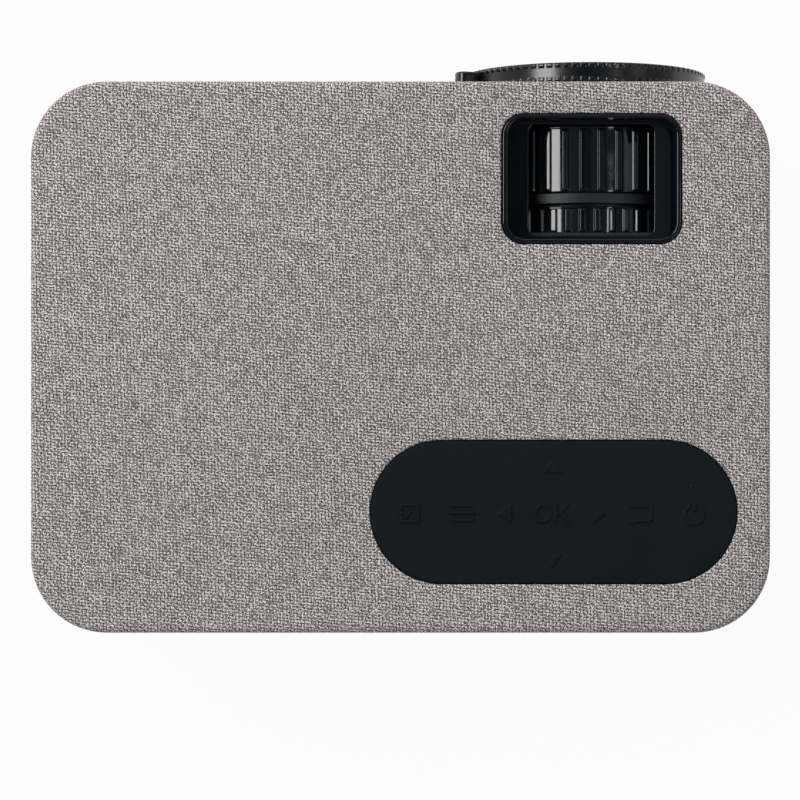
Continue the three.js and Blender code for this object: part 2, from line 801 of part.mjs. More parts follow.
// Window in the roof
function windowBezel() {
  const outer = prism('z', windowOutline(0), [trayZ - trayThickness, topZ]);
  const flangeZ = roofZ - seatGap;
  const flange = prism('z', windowOutline(windowFlange), [flangeZ - windowFlangeThickness, flangeZ]);
  const recess = prism('z', windowOutline(-windowWall), [trayZ, topZ + overrun]);
  const openingCentre = [trayOpeningX, trayOpeningY];
  const opening = roundedRectangle(openingCentre, trayOpeningWidth, trayOpeningDepth, trayOpeningRadius);
  return cut(join(outer, flange), recess, prism('z', opening, grow([trayZ - trayThickness, trayZ], overrun)));
}

piece('window_bezel', windowBezel(), 'gloss');

// Lens group: profiles and prisms about the lens axis, with y as in the body
function lensHood() {
  const panelBackY = frontY + panelDepth + seatGap;
  const flangeBackY = panelBackY + hoodFlangeThickness;
  return turned([
    [hoodRadius - hoodRim, hoodY],
    [hoodRadius, hoodY],
    [hoodRadius, panelBackY],
    [hoodRadius + hoodFlange, panelBackY],
    [hoodRadius + hoodFlange, flangeBackY],
    [ringBore + hoodCollarWall, flangeBackY],
    [ringBore + hoodCollarWall, focusY - seam],
    [ringBore, focusY - seam],
    [ringBore, sleeveY - seam],
    [sleeveBore, sleeveY - seam],
    [sleeveBore, hoodY + hoodFunnel],
  ]);
}

function lensMount() {
  const sleeve = tube('y', [0, 0], [sleeveBore, sleeveRadius], [sleeveY, engineY + engineWall + seatGap]);
  const band = tube('y', [0, 0], [sleeveBore, bandRadius], [bandY, bandY + bandLength]);
  return join(sleeve, band);
}

function ribbedRing(radius, ribs, phase, [start, end]) {
  return prism('y', ribbedOutline(radius, ribs, phase), [start, end], { holes: [circle([0, 0], ringBore)] });
}

function lensBarrel() {
  const shoulder = pocketRadius - barrelShoulder;
  return turned([
    [pocketRadius, barrelY],
    [barrelRadius, barrelY],
    [barrelRadius, barrelEndY],
    [pocketRadius, barrelEndY],
    [pocketRadius, barrelEndY - rearPocket],
    [shoulder, barrelEndY - rearPocket],
    [shoulder, barrelY + frontPocket],
    [pocketRadius, barrelY + frontPocket],
  ]);
}

// A glass element: an edge with a domed face on one side, both about the Y axis
const domeShares = [0, 0.4, 0.75];
function element(radius, edge, bulge, backY, facing) {
  const dome = domeShares.map((share) => {
    const rise = bulge * (1 - share * share);
    return [radius * share, backY + facing * (edge + rise)];
  });
  return turned([[0, backY], ...dome, [radius, backY + facing * edge], [radius, backY]]);
}

function lensCap() {
  const teeth = Array.from({ length: capTeeth * 2 }, (_, i) => {
    const angle = i / (capTeeth * 2) * Math.PI * 2;
    const reach = i % 2 ? capRadius - capToothDepth : capRadius;
    return new THREE.Vector2(reach * Math.cos(angle), reach * Math.sin(angle));
  });
  const span = [capY, frontY - seam];
  const lugHeight = capLugReach + capWall;
  const lugMiddle = capRadius + capLugReach - lugHeight / 2;
  const lug = roundedRectangle([0, lugMiddle], capLugWidth, lugHeight, capLugRadius);
  const cavity = rod('y', [0, 0], hoodRadius + seam, [hoodY - seam, frontY + overrun]);
  return cut(join(prism('y', teeth, span), prism('y', placed(lug, -capLugAngle, [0, 0]), span)), cavity);
}

const focusSpan = [focusY, focusY + focusLength];
const keystoneSpan = [keystoneY, keystoneY + keystoneLength];
const frontGlassY = barrelY + frontPocket - seatGap;
const rearGlassY = barrelEndY - rearPocket + seatGap;
piece('lens_hood', lensHood(), 'gloss', lens);
piece('lens_mount', lensMount(), 'satin', lens);
piece('focus_ring', ribbedRing(focusRadius, focusRibs, focusPhase, focusSpan), 'gloss', lens);
piece('keystone_ring', ribbedRing(keystoneRadius, keystoneRibs, keystonePhase, keystoneSpan), 'gloss', lens);
piece('lens_barrel', lensBarrel(), 'housing', lens);
piece('front_lens', element(glassRadius, glassEdge, frontBulge, frontGlassY, -1), 'glass', lens);
piece('rear_lens', element(glassRadius, rearGlassEdge, rearBulge, rearGlassY, 1), 'glass', lens);
piece('lens_cap', lensCap(), 'gloss', lens);

const irDisc = rod('y', [0, 0], irRadius, [frontY, frontY + panelDepth], smallSides);
piece('ir_window', irDisc, 'satin', projector, [irPlace, 0, lensZ + irAboveAxis]);

// Icons, drawn upright about the key's middle; the user behind the projector reads them from the rear,
// so each is turned half a turn when it is placed.
function stroke(points, width = iconStroke) {
  const bars = [];
  for (let i = 1; i < points.length; i += 1) {
    const [start, end] = [new THREE.Vector2(...points[i - 1]), new THREE.Vector2(...points[i])];
    const along = end.clone().sub(start);
    const half = [(along.length() + width) / 2, width / 2];
    const bar = [[-1, -1], [1, -1], [1, 1], [-1, 1]].map(([sideways, upwards]) => (
      new THREE.Vector2(sideways * half[0], upwards * half[1])
    ));
    const middle = start.clone().add(end).multiplyScalar(0.5);
    bars.push(placed(bar, THREE.MathUtils.radToDeg(along.angle()), [middle.x, middle.y]));
  }
  return bars;
}

function arc([centreX, centreY], [radiusX, radiusY], [startDegrees, endDegrees], steps) {
  return Array.from({ length: steps + 1 }, (_, i) => {
    const angle = THREE.MathUtils.degToRad(startDegrees + (endDegrees - startDegrees) * i / steps);
    return [centreX + radiusX * Math.cos(angle), centreY + radiusY * Math.sin(angle)];
  });
}

function triangleIcon(turnDegrees) {
  const [half, depth] = iconShares.arrow.map((share) => share * keyRadius / 2);
  const corners = [[-half, -depth], [half, -depth], [0, depth]].map((corner) => new THREE.Vector2(...corner));
  return [placed(corners, turnDegrees, [0, 0])];
}

function menuIcon() {
  const [width, pitch] = iconShares.menu.map((share) => share * keyRadius);
  const half = (width - iconStroke) / 2;
  return [-1, 0, 1].flatMap((row) => stroke([[-half, row * pitch], [half, row * pitch]]));
}

function okIcon() {
  const [half, tall] = iconShares.ok.map((share) => (share * keyRadius - iconStroke) / 2);
  const letterO = arc([-half / 2, 0], [half / 2 - iconStroke / 4, tall], [0, 360], 10);
  const stem = half / 4;
  return [
    ...stroke(letterO),
    ...stroke([[stem, -tall], [stem, tall]]),
    ...stroke([[half, tall], [stem, -iconStroke / 2]]),
    ...stroke([[half / 2, iconStroke / 2], [half, -tall]]),
  ];
}

function sourceIcon() {
  const half = (iconShares.square * keyRadius - iconStroke) / 2;
  const gap = half / 2;
  const frame = [[-half, gap], [-half, half], [half, half], [half, -half], [-half, -half], [-half, -gap]];
  const head = [[-iconArrowHead, iconArrowHead], [0, 0], [-iconArrowHead, -iconArrowHead]];
  return [...stroke(frame), ...stroke([[-half - iconStroke, 0], [0, 0]]), ...stroke(head)];
}

function backIcon() {
  const [half, tall] = iconShares.back.map((share) => (share * keyRadius - iconStroke) / 2);
  const turn = arc([half - tall, 0], [tall, tall], [90, -90], 4);
  const head = [[iconArrowHead, iconArrowHead], [0, 0], [iconArrowHead, -iconArrowHead]].map(([x, y]) => (
    [x - half, y - tall]
  ));
  return [...stroke([[-half, tall], ...turn, [-half, -tall]]), ...stroke(head)];
}

function powerIcon() {
  const radius = iconShares.power * keyRadius - iconStroke / 2;
  return [
    ...stroke(arc([0, 0], [radius, radius], [120, 420], 9)),
    ...stroke([[0, radius / 3], [0, radius + iconStroke / 2]]),
  ];
}

const keys = [
  { name: 'source', at: [endReach, 0], icon: sourceIcon() },
  { name: 'menu', at: [menuReach, 0], icon: menuIcon() },
  { name: 'left', at: [arrowReach, 0], icon: triangleIcon(90) },
  { name: 'ok', at: [0, 0], icon: okIcon() },
  { name: 'right', at: [-arrowReach, 0], icon: triangleIcon(-90) },
  { name: 'back', at: [-menuReach, 0], icon: backIcon() },
  { name: 'power', at: [-endReach, 0], icon: powerIcon() },
  { name: 'up', at: [0, -arrowReach], icon: triangleIcon(0) },
  { name: 'down', at: [0, arrowReach], icon: triangleIcon(180) },
].map((key) => ({
  ...key,
  radius: key.name === 'ok' ? okKeyRadius : keyRadius,
  place: [keyColumnX + key.at[0], keyRowY + key.at[1]],
}));
const [indicatorX, indicatorY] = [keyColumnX - endReach + 2 * indicatorRadius, keyRowY - indicatorRise];
const switchZ = padBoardZ + switchHeight;
const stemZ = switchZ + keyTravel + keyPlay;

function keypadPad() {
  const top = prism('z', padOutline(0), [padZ - padThickness, padZ], { edge: padEdgeRadius, steps: 1 });
  const flange = prism('z', padOutline(padFlange), [padFlangeZ - padFlangeThickness, padFlangeZ]);
  const rimSpan = [padBoardZ + seatGap, padFlangeZ];
  const rim = prism('z', padOutline(padFlange), rimSpan, { holes: [padOutline(padFlange - padRim)] });
  const through = [padBoardZ, padZ + overrun];
  return cut(
    join(top, flange, rim),
    ...keys.map(({ place, radius }) => rod('z', place, radius + seam, through, smallSides)),
    rod('z', [indicatorX, indicatorY], indicatorRadius + seam, through, smallSides),
  );
}

function keypadBoard() {
  const plateSpan = [padBoardZ - padBoardThickness, padBoardZ];
  const plate = prism('z', padOutline(padFlange + seam + padRibWall), plateSpan);
  const switches = keys.map(({ place: [x, y] }) => (
    block(around(x, switchSize), around(y, switchSize), [padBoardZ - padBoardThickness / 2, switchZ])
  ));
  const bossNotches = bossPlaces.map((place) => (
    rod('z', place, bossRadius + seam, grow(plateSpan, overrun), smallSides)
  ));
  return cut(join(plate, ...switches), ...bossNotches);
}

function key({ radius, icon }) {
  const disc = prism('z', circle([0, 0], radius, smallSides), [-keyThickness, 0]);
  const stem = rod('z', [0, 0], keyStemRadius, [stemZ - padZ, -keyThickness / 2], smallSides);
  const relief = icon.map((outline) => prism('z', placed(outline, 180, [0, 0]), [-iconHeight, iconHeight]));
  return join(disc, stem, ...relief);
}

piece('keypad_pad', keypadPad(), 'silicone');
keys.forEach((entry) => {
  piece(`key_${entry.name}`, key(entry), 'silicone', projector, [...entry.place, padZ]);
});
piece('keypad_board', keypadBoard(), 'board');
const pipeSpan = [padBoardZ + seatGap - padZ, 0];
piece('indicator_light', rod('z', [0, 0], indicatorRadius, pipeSpan, smallSides), 'satin', projector,
  [indicatorX, indicatorY, padZ]);

// Light engine: a box around the light path, which runs along -X to the mirror and then along -Y
const engineInner = [engineY + engineWall, engineRearY - engineWall];
const mirrorBack = (mirrorThickness + seatGap) * Math.SQRT1_2;
const fresnelPlaces = { output: lcdX - fresnelSpacing, input: lcdX + fresnelSpacing };

function engineCase() {
  const outer = block([engineLeftX, engineRightX], [engineY, engineRearY], [engineZ, engineTopZ]);
  const innerX = [engineLeftX + engineWall, engineRightX - engineWall];
  const inner = block(innerX, engineInner, [engineFloorZ, engineTopZ + overrun]);
  const legs = [engineLeftX + engineLegInset, engineRightX - engineLegInset].flatMap((x) => (
    [engineY + engineLegInset, engineRearY - engineLegInset].map((y) => (
      rod('z', [x, y], engineLegRadius, [floorZ + seatGap, engineZ + engineWall / 2], smallSides)
    ))
  ));
  const ribs = Object.values(fresnelPlaces).flatMap((x) => [-1, 1].flatMap((side) => {
    const near = x + side * (fresnelThickness / 2 + seatGap);
    const span = side > 0 ? [near, near + opticRib] : [near - opticRib, near];
    return [
      block(span, [engineY, engineInner[0] + opticRibReach], [engineZ, engineTopZ]),
      block(span, [engineInner[1] - opticRibReach, engineRearY], [engineZ, engineTopZ]),
    ];
  }));
  const seatCorners = [
    [lensX - mirrorHalf - mirrorBack, axisY - mirrorHalf + mirrorBack],
    [lensX + mirrorHalf - mirrorBack, axisY + mirrorHalf + mirrorBack],
    [lensX - mirrorHalf - mirrorBack, axisY + mirrorHalf + mirrorBack],
  ].map((corner) => new THREE.Vector2(...corner));
  const mirrorSeat = prism('z', seatCorners, [engineZ + engineWall / 2, engineFloorZ + mirrorSeatHeight]);
  return cut(
    join(cut(outer, inner), ...legs, ...ribs, mirrorSeat),
    rod('y', lensPlace, sleeveRadius + seatGap, [engineY - overrun, engineInner[0] + overrun]),
    rod('x', [axisY, lensZ], ledHoleRadius, [engineRightX - engineWall - overrun, engineRightX + overrun]),
    rod('y', [lcdX, lensZ], lcdPivotRadius + seam, [engineY - overrun, engineRearY + overrun], smallSides),
  );
}

function plateBetween(x, thickness) {
  const heights = [engineFloorZ + seatGap, engineTopZ - seatGap];
  return block(around(x, thickness), grow(engineInner, -seam), heights);
}

const mirrorPlate = () => {
  const geometry = new THREE.BoxGeometry(mirrorLength, mirrorThickness, mirrorHeight);
  geometry.translate(0, mirrorThickness / 2, 0);
  return solid(geometry);
};

function lcdFrame() {
  const width = [axisY - lcdFrameWidth / 2, axisY + lcdFrameWidth / 2];
  const plate = block(around(0, lcdFrameThickness), width, around(0, lcdFrameHeight));
  const window = block(
    around(0, lcdFrameThickness + overrun),
    around(axisY, lcdWidth - 2 * lcdRebate),
    around(0, lcdHeight - 2 * lcdRebate),
  );
  const rebate = block(
    [-lcdThickness / 2 - seatGap, lcdFrameThickness],
    around(axisY, lcdWidth + 2 * seatGap),
    around(0, lcdHeight + 2 * seatGap),
  );
  const pins = [[engineY + seam, width[0] + wall], [width[1] - wall, engineRearY - seam]].map((span) => (
    rod('y', [0, 0], lcdPivotRadius, span, smallSides)
  ));
  return join(cut(plate, window, rebate), ...pins);
}

piece('engine_case', engineCase(), 'housing');
const coverSpan = [engineTopZ + seatGap, engineTopZ + seatGap + engineCoverThickness];
piece('engine_cover', block([engineLeftX, engineRightX], [engineY, engineRearY], coverSpan), 'housing');
const mirrorGroup = new THREE.Group();
mirrorGroup.position.set(lensX, axisY, engineFloorZ + seatGap + mirrorHeight / 2);
mirrorGroup.rotation.z = Math.PI / 4;
projector.add(mirrorGroup);
piece('folding_mirror', mirrorPlate(), 'mirror', mirrorGroup);
piece('fresnel_output', plateBetween(fresnelPlaces.output, fresnelThickness), 'glass');
piece('fresnel_input', plateBetween(fresnelPlaces.input, fresnelThickness), 'glass');
piece('lcd_frame', lcdFrame(), 'housing', projector, [lcdX, 0, lensZ]);
const lcdBlock = block(around(0, lcdThickness), around(0, lcdWidth), around(0, lcdHeight));
piece('lcd_panel', lcdBlock, 'lcd', projector, [lcdX, axisY, lensZ]);

const condenserGroup = new THREE.Group();
condenserGroup.position.set(engineRightX - engineWall - seatGap, axisY, lensZ);
condenserGroup.rotation.z = Math.PI / 2;
projector.add(condenserGroup);
const condenser = element(condenserRadius, condenserEdge, condenserBulge, 0, 1);
piece('condenser_lens', condenser, 'glass', condenserGroup);

function ledBoard() {
  const plate = block([0, ledBoardThickness], around(0, ledBoardSize), around(0, ledBoardSize));
  const led = block([-ledHeight, ledBoardThickness / 2], around(0, ledSize), around(0, ledSize));
  return join(plate, led);
}

function heatsink() {
  const base = block([0, heatsinkBase], around(0, heatsinkSize), around(0, heatsinkSize));
  const pitch = (heatsinkSize - finThickness) / (fins - 1);
  const blades = Array.from({ length: fins }, (_, i) => {
    const across = around((i - (fins - 1) / 2) * pitch, finThickness);
    return block([heatsinkBase / 2, heatsinkDepth], across, around(0, heatsinkSize));
  });
  return join(base, ...blades);
}

piece('led_board', ledBoard(), 'aluminium', projector, [ledBoardX, axisY, lensZ]);
piece('heatsink', heatsink(), 'aluminium', projector, [heatsinkX, axisY, lensZ]);

// Fan
function fanFrame() {
  const square = roundedRectangle([0, 0], fanSize, fanSize, fanCornerRadius);
  const frame = prism('x', square, [0, fanDepth], { holes: [circle([0, 0], fanBoreRadius)] });
  const cup = rod('x', [0, 0], fanHubRadius, [fanDepth - fanCupDepth, fanDepth]);
  const struts = Array.from({ length: fanStruts }, (_, i) => {
    const reach = fanBoreRadius + fanTipGap;
    const bar = roundedRectangle([0, reach / 2], fanStrutWidth, reach, fanStrutWidth / 4);
    return prism('x', placed(bar, i / fanStruts * 360, [0, 0]), [fanDepth - fanCupDepth, fanDepth]);
  });
  return join(frame, cup, ...struts);
}

function fanRotor() {
  const length = fanDepth - fanCupDepth - seam - fanRotorInset;
  const hub = rod('x', [0, 0], fanHubRadius, [fanRotorInset, fanRotorInset + length]);
  const reach = fanBoreRadius - fanTipGap - fanHubRadius / 2;
  const blades = Array.from({ length: fanBlades }, (_, i) => {
    const blade = new THREE.BoxGeometry(fanBladeChord, fanBladeThickness, reach);
    blade.translate(0, 0, fanHubRadius / 2 + reach / 2);
    blade.rotateZ(THREE.MathUtils.degToRad(fanBladePitch));
    blade.translate(fanRotorInset + length / 2, 0, 0);
    blade.rotateX(i / fanBlades * Math.PI * 2);
    return solid(blade);
  });
  return join(hub, ...blades);
}

piece('fan_frame', fanFrame(), 'housing', projector, [fanX, axisY, lensZ]);
piece('fan_rotor', fanRotor(), 'housing', projector, [fanX, axisY, lensZ]);

// Electronics
piece('main_board', block(around(0, boardWidth), [boardY, boardRearY], [boardZ, boardTopZ]), 'board');
piece('hdmi_socket', tongueSocket(sockets.hdmi, hdmiShell, hdmiTongue), 'steel');
piece('usb_socket', tongueSocket(sockets.usb, usbShell, usbTongue), 'steel');
piece('av_socket', roundSocket(sockets.av, avBore, 0), 'housing');
piece('dc_inlet', roundSocket(sockets.dc, dcBore, dcPin), 'housing');
const ribbonY = rearY - ribbonFromRear;
const ribbonSpan = [boardTopZ + seatGap, padBoardZ - padBoardThickness - seatGap];
const ribbon = block(around(padX, ribbonWidth), around(ribbonY, ribbonThickness), ribbonSpan);
piece('keypad_ribbon', ribbon, 'ribbon');

function speaker() {
  const rimY = frontY + panelDepth + seatGap;
  const coneY = rimY + speakerRim;
  const magnetY = coneY + speakerConeDepth;
  return turned([
    [0, rimY],
    [speakerRadius, rimY],
    [speakerRadius, coneY],
    [magnetRadius, magnetY],
    [magnetRadius, magnetY + magnetDepth],
    [0, magnetY + magnetDepth],
  ]);
}

piece('speaker', speaker(), 'steel', projector, [speakerX, 0, lensZ]);

export default projector;
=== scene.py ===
# %% [markdown]
# # A small desktop projector
#
# The object is a flat box with a woven skin, a window over two ribbed lens rings, a silicone keypad
# and a toothed lens cap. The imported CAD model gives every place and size, in metres, and this
# notebook gives the looks. Each code cell makes one piece or one finish, and the cell before it says
# what the real one is and why it is made this way.

# %% The frame
import math

import bmesh
import bpy
from mathutils import Matrix, Vector


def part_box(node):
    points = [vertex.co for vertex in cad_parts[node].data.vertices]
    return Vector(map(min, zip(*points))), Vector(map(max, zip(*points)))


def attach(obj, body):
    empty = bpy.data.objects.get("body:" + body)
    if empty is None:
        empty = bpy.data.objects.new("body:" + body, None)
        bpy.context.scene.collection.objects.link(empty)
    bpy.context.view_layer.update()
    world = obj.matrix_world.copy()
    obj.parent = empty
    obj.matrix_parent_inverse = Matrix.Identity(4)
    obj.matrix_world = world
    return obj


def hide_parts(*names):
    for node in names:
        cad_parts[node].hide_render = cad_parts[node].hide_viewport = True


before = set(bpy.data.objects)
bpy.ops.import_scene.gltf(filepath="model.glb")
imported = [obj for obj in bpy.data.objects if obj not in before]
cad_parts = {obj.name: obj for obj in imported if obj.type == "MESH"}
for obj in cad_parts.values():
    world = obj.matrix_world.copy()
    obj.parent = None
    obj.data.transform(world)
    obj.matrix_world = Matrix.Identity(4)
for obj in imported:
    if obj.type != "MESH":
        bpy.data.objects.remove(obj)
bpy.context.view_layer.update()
mm = 0.001

# %% [markdown]
# ## Camera
#
# The photograph looks straight down on the roof with the front of the object at the top, so the
# camera looks along -Z and is turned half a turn. A long lens, 120 mm on a 36 mm sensor, gives the
# small perspective that shows the side of the lens cap beyond the front edge.

# %% Camera
scene = bpy.context.scene
camera = bpy.data.objects.new("camera", bpy.data.cameras.new("camera"))
camera.data.sensor_width = 36
camera.data.lens = 120
camera.data.clip_start = 0.01
camera.data.clip_end = 30
camera.location = (0.000135, 0.01441, 0.799)
camera.rotation_euler = (0, 0, math.pi)
scene.collection.objects.link(camera)
scene.camera = camera
scene.view_settings.view_transform = "Standard"
print("camera", round(camera.location.z / mm), "mm above the floor")

# %% [markdown]
# ## Colours and nodes
#
# Colours are written as on a colour card, in sRGB, and a shader wants linear light, so one function
# turns them. One more adds a node: a value that is a node or a socket becomes a link, and any other
# value is set on the socket itself. Another writes a formula as a row of sums. No real surface is quite
# even, so the last one lets a pattern vary a finish a little.

# %% Colours and nodes
def srgb(card):
    channels = [int(card[i : i + 2], 16) / 255 for i in (1, 3, 5)]
    return [c / 12.92 if c <= 0.04045 else ((c + 0.055) / 1.055) ** 2.4 for c in channels] + [1.0]


def add(tree, kind, inputs=(), stops=(), **settings):
    """A node with its settings, its links and, on a ramp, its (position, colour) stops."""
    node = tree.nodes.new(kind)
    for name, value in settings.items():
        setattr(node, name, value)
    for number, (position, colour) in enumerate(stops):
        ramp = node.color_ramp.elements
        stop = ramp[number] if number < 2 else ramp.new(position)
        stop.position, stop.color = position, colour
    for name, value in dict(inputs).items():
        if isinstance(value, bpy.types.Node):
            value = value.outputs[0]
        if isinstance(value, bpy.types.NodeSocket):
            tree.links.new(value, node.inputs[name])
        else:
            node.inputs[name].default_value = value
    return node


def formula(tree, value, *steps):
    """Sums worked out one after the other. A step is an operation and the values it takes besides the last."""
    for operation, *others in steps:
        value = add(tree, "ShaderNodeMath", dict(enumerate([value, *others])), operation=operation)
    return value


def finish(name, card, roughness, **uniform):
    """A material and its tree, with its plain values set on the Principled shader's own sockets."""
    material = bpy.data.materials.new(name)
    material.use_nodes = True
    shader = material.node_tree.nodes["Principled BSDF"].inputs
    for socket, value in {"Base Color": srgb(card), "Roughness": roughness, **uniform}.items():
        shader[socket.replace("_", " ")].default_value = value
    return material, material.node_tree


def millimetres(tree, centre=(0, 0, 0), stretch=(1, 1, 1)):
    """Object coordinates in millimetres about a centre, so that a pattern's size is a real one."""
    place = add(tree, "ShaderNodeTexCoord")
    scale = [share / mm for share in stretch]
    shift = [-c * s for c, s in zip(centre, scale)]
    inputs = {"Vector": place.outputs["Object"], "Location": shift, "Scale": scale}
    return add(tree, "ShaderNodeMapping", inputs)


def vary(tree, pattern, tones=(), shine=(), relief=(), stretch=(1, 1, 1)):
    """Lets a pattern vary a finish: its colour by (position, card) tones or by a node's own colour, its
    roughness by a shine of (least, most, and where in the pattern they lie), and its surface by a relief
    of (mm, strength). The pattern is a node's output, or (scale, detail) for a noise in millimetres."""
    if isinstance(pattern, tuple):
        noise = {"Vector": millimetres(tree, stretch=stretch), "Scale": pattern[0], "Detail": pattern[1]}
        pattern = add(tree, "ShaderNodeTexNoise", noise).outputs["Fac"]
    shader = tree.nodes["Principled BSDF"].inputs
    if isinstance(tones, list):
        stops = [(place, srgb(card)) for place, card in tones]
        tones = add(tree, "ShaderNodeValToRGB", {"Fac": pattern}, stops).outputs["Color"]
    if tones:
        tree.links.new(tones, shader["Base Color"])
    if shine:
        ends = dict(zip(("To Min", "To Max", "From Min", "From Max"), shine))
        spread = add(tree, "ShaderNodeMapRange", {"Value": pattern, **ends})
        tree.links.new(spread.outputs["Result"], shader["Roughness"])
    if relief:
        height, strength = relief
        grain = add(tree, "ShaderNodeBump", {"Height": pattern, "Distance": height * mm, "Strength": strength})
        tree.links.new(grain.outputs["Normal"], shader["Normal"])


print("helpers are ready")

# %% [markdown]
# ## Floor, room and lamps
#
# A product photograph has a plain pale floor and soft light. The floor is matt card; to camera and
# mirror rays part of its colour is plain white, so that it fades to the white of the page and still
# keeps the object's shadow. The room is pale near the horizon, darker overhead and darkest in one
# round patch, which the flat gloss parts mirror. Its brightest side is in front, on the left of the
# picture. A large soft box there is the main light and makes the broad highlight on the rings. On the
# right a narrow one draws the light line on the keystone ring, and a dim panel makes a grey patch on
# the focus ring. Two dim boxes, in front and behind, soften the shadows. The camera sees the room as
# plain white, and what the gloss parts mirror is the dim studio.

# %% Floor
paper, tree = finish("matt white card", "#f7f7f6", 0.9, Specular_IOR_Level=0.2)
rays = add(tree, "ShaderNodeLightPath").outputs
plain_white = 0.95
share = formula(tree, rays["Is Camera Ray"], ("MAXIMUM", rays["Is Glossy Ray"]),
                ("MAXIMUM", rays["Is Transmission Ray"]), ("MULTIPLY", plain_white))
glow = add(tree, "ShaderNodeEmission", {"Color": srgb("#ffffff"), "Strength": 1.0})
mixed = add(tree, "ShaderNodeMixShader", {"Fac": share, 1: tree.nodes["Principled BSDF"], 2: glow})
tree.links.new(mixed.outputs[0], tree.nodes["Material Output"].inputs["Surface"])

reach = 6.0
floor_mesh = bpy.data.meshes.new("floor")
corners = [(-reach, -reach, 0), (reach, -reach, 0), (reach, reach, 0), (-reach, reach, 0)]
floor_mesh.from_pydata(corners, [], [(0, 1, 2, 3)])
floor_mesh.materials.append(paper)
floor = bpy.data.objects.new("floor", floor_mesh)
scene.collection.objects.link(floor)
print("floor is", 2 * reach, "m wide")

# %% Room
room = bpy.data.worlds.new("studio")
scene.world = room
room.use_nodes = True
tree = room.node_tree
direction = add(tree, "ShaderNodeTexCoord").outputs["Generated"]
back_right, up = (
    add(tree, "ShaderNodeVectorMath", {0: direction, 1: way}, operation="DOT_PRODUCT").outputs["Value"]
    for way in [(-0.45, 0.89, 0), (0.052, -0.087, 0.9948)])
greys = [(0.05, 0.6, 0.6), (0.9945, 0.03, 0.032), (0.45, 0.32, 0.3264), (0.8, 0.18, 0.1836), (0.9905, 0.18, 0.1836)]
fade = add(tree, "ShaderNodeValToRGB", {"Fac": up}, [(height, (grey, grey, blue, 1)) for height, grey, blue in greys])
brighter = add(tree, "ShaderNodeMapRange", {"Value": back_right, "From Min": -1.0, "From Max": 1.0,
                                            "To Min": 1.35, "To Max": 0.3})
lit_room = add(tree, "ShaderNodeVectorMath", {0: fade.outputs["Color"], 1: brighter.outputs["Result"]},
               operation="MULTIPLY")
rays = add(tree, "ShaderNodeLightPath").outputs
seen = formula(tree, rays["Is Camera Ray"], ("MAXIMUM", rays["Is Transmission Ray"]))
backdrop = add(tree, "ShaderNodeMix", {"Factor": seen, 6: lit_room, 7: srgb("#ffffff")}, data_type="RGBA")
tree.links.new(backdrop.outputs[2], tree.nodes["Background"].inputs["Color"])
print("room has", len(greys), "grey levels")

# %% Lamps
def soft_box(name, place, size, radiance, aim=(0, 0, 0.06)):
    """An area lamp, size long and size high, of a brightness that doesn't depend on its size."""
    lamp = bpy.data.lights.new(name, "AREA")
    lamp.shape = "RECTANGLE"
    lamp.size, lamp.size_y = size
    lamp.energy = radiance * math.pi * size[0] * size[1]
    lamp_object = bpy.data.objects.new(name, lamp)
    lamp_object.location = place
    lamp_object.rotation_euler = (Vector(aim) - Vector(place)).to_track_quat("-Z", "Y").to_euler()
    scene.collection.objects.link(lamp_object)
    return lamp_object


soft_box("left soft box", (0.606, -0.42, 0.828), (0.76, 0.35), 9.0, (-0.043, -0.42, 0.068))
soft_box("right soft box", (-0.50, 0.136, 0.94), (0.5, 0.09), 8.0, (-0.057, 0.136, 0.068))
soft_box("right panel", (-0.82, 0.1, 0.72), (0.9, 0.21), 0.5, (-0.06, 0.1, 0.066))
soft_box("front soft box", (0.0, -1.2, 0.8), (1.6, 0.5), 1.3)
soft_box("rear soft box", (0.0, 1.2, 0.9), (1.6, 0.5), 0.4)

# %% [markdown]
# ## Outlines and lofts
#
# Most pieces here are rounded rectangles that were pressed or moulded with a small edge radius. An
# outline function gives the same number of points whatever its size, so a surface is a stack of such
# outlines, joined one to the next. That is a loft, and it gives clean four-sided faces.

# %% Outlines and lofts
def rounded_outline(centre, size, radius, steps=12):
    points = []
    for quarter, (sideways, upwards) in enumerate([(1, 1), (-1, 1), (-1, -1), (1, -1)]):
        for step in range(steps + 1):
            angle = (quarter + step / steps) * math.pi / 2
            points.append((
                centre[0] + sideways * (size[0] / 2 - radius) + radius * math.cos(angle),
                centre[1] + upwards * (size[1] / 2 - radius) + radius * math.sin(angle),
            ))
    return points


def lifted(shape, rows):
    """A shape's outline for each (inset, z). A shape is a centre, a size, a corner radius and, if 12 steps
    round a corner aren't right, their number."""
    centre, size, radius, *steps = shape
    rings = []
    for inset, z in rows:
        outline = rounded_outline(centre, [side - 2 * inset for side in size], radius - inset, *steps)
        rings.append([(x, y, z) for x, y in outline])
    return rings


def circles(centre, rows, sides):
    """A circle for each (radius, z)."""
    turn = [2 * math.pi * i / sides for i in range(sides)]
    return [[(centre[0] + radius * math.cos(a), centre[1] + radius * math.sin(a), z) for a in turn]
            for radius, z in rows]


def quarter_arc(radius, steps=4):
    """Pairs of (how far in, how far down) along a quarter turn, from the side to the top."""
    turn = [math.pi / 2 * i / steps for i in range(steps + 1)]
    return [(radius * (1 - math.cos(a)), radius * (1 - math.sin(a))) for a in turn]


def walls(work, rings, closed=False):
    """Rings of equal count, in mm, joined in turn, and the last to the first if the wall is closed."""
    rows = [[work.verts.new([value * mm for value in point]) for point in ring] for ring in rings]
    for low, high in zip(rows, rows[1:] + (rows[:1] if closed else [])):
        for i in range(len(low)):
            after = (i + 1) % len(low)
            work.faces.new((low[i], low[after], high[after], high[i]))
    return rows


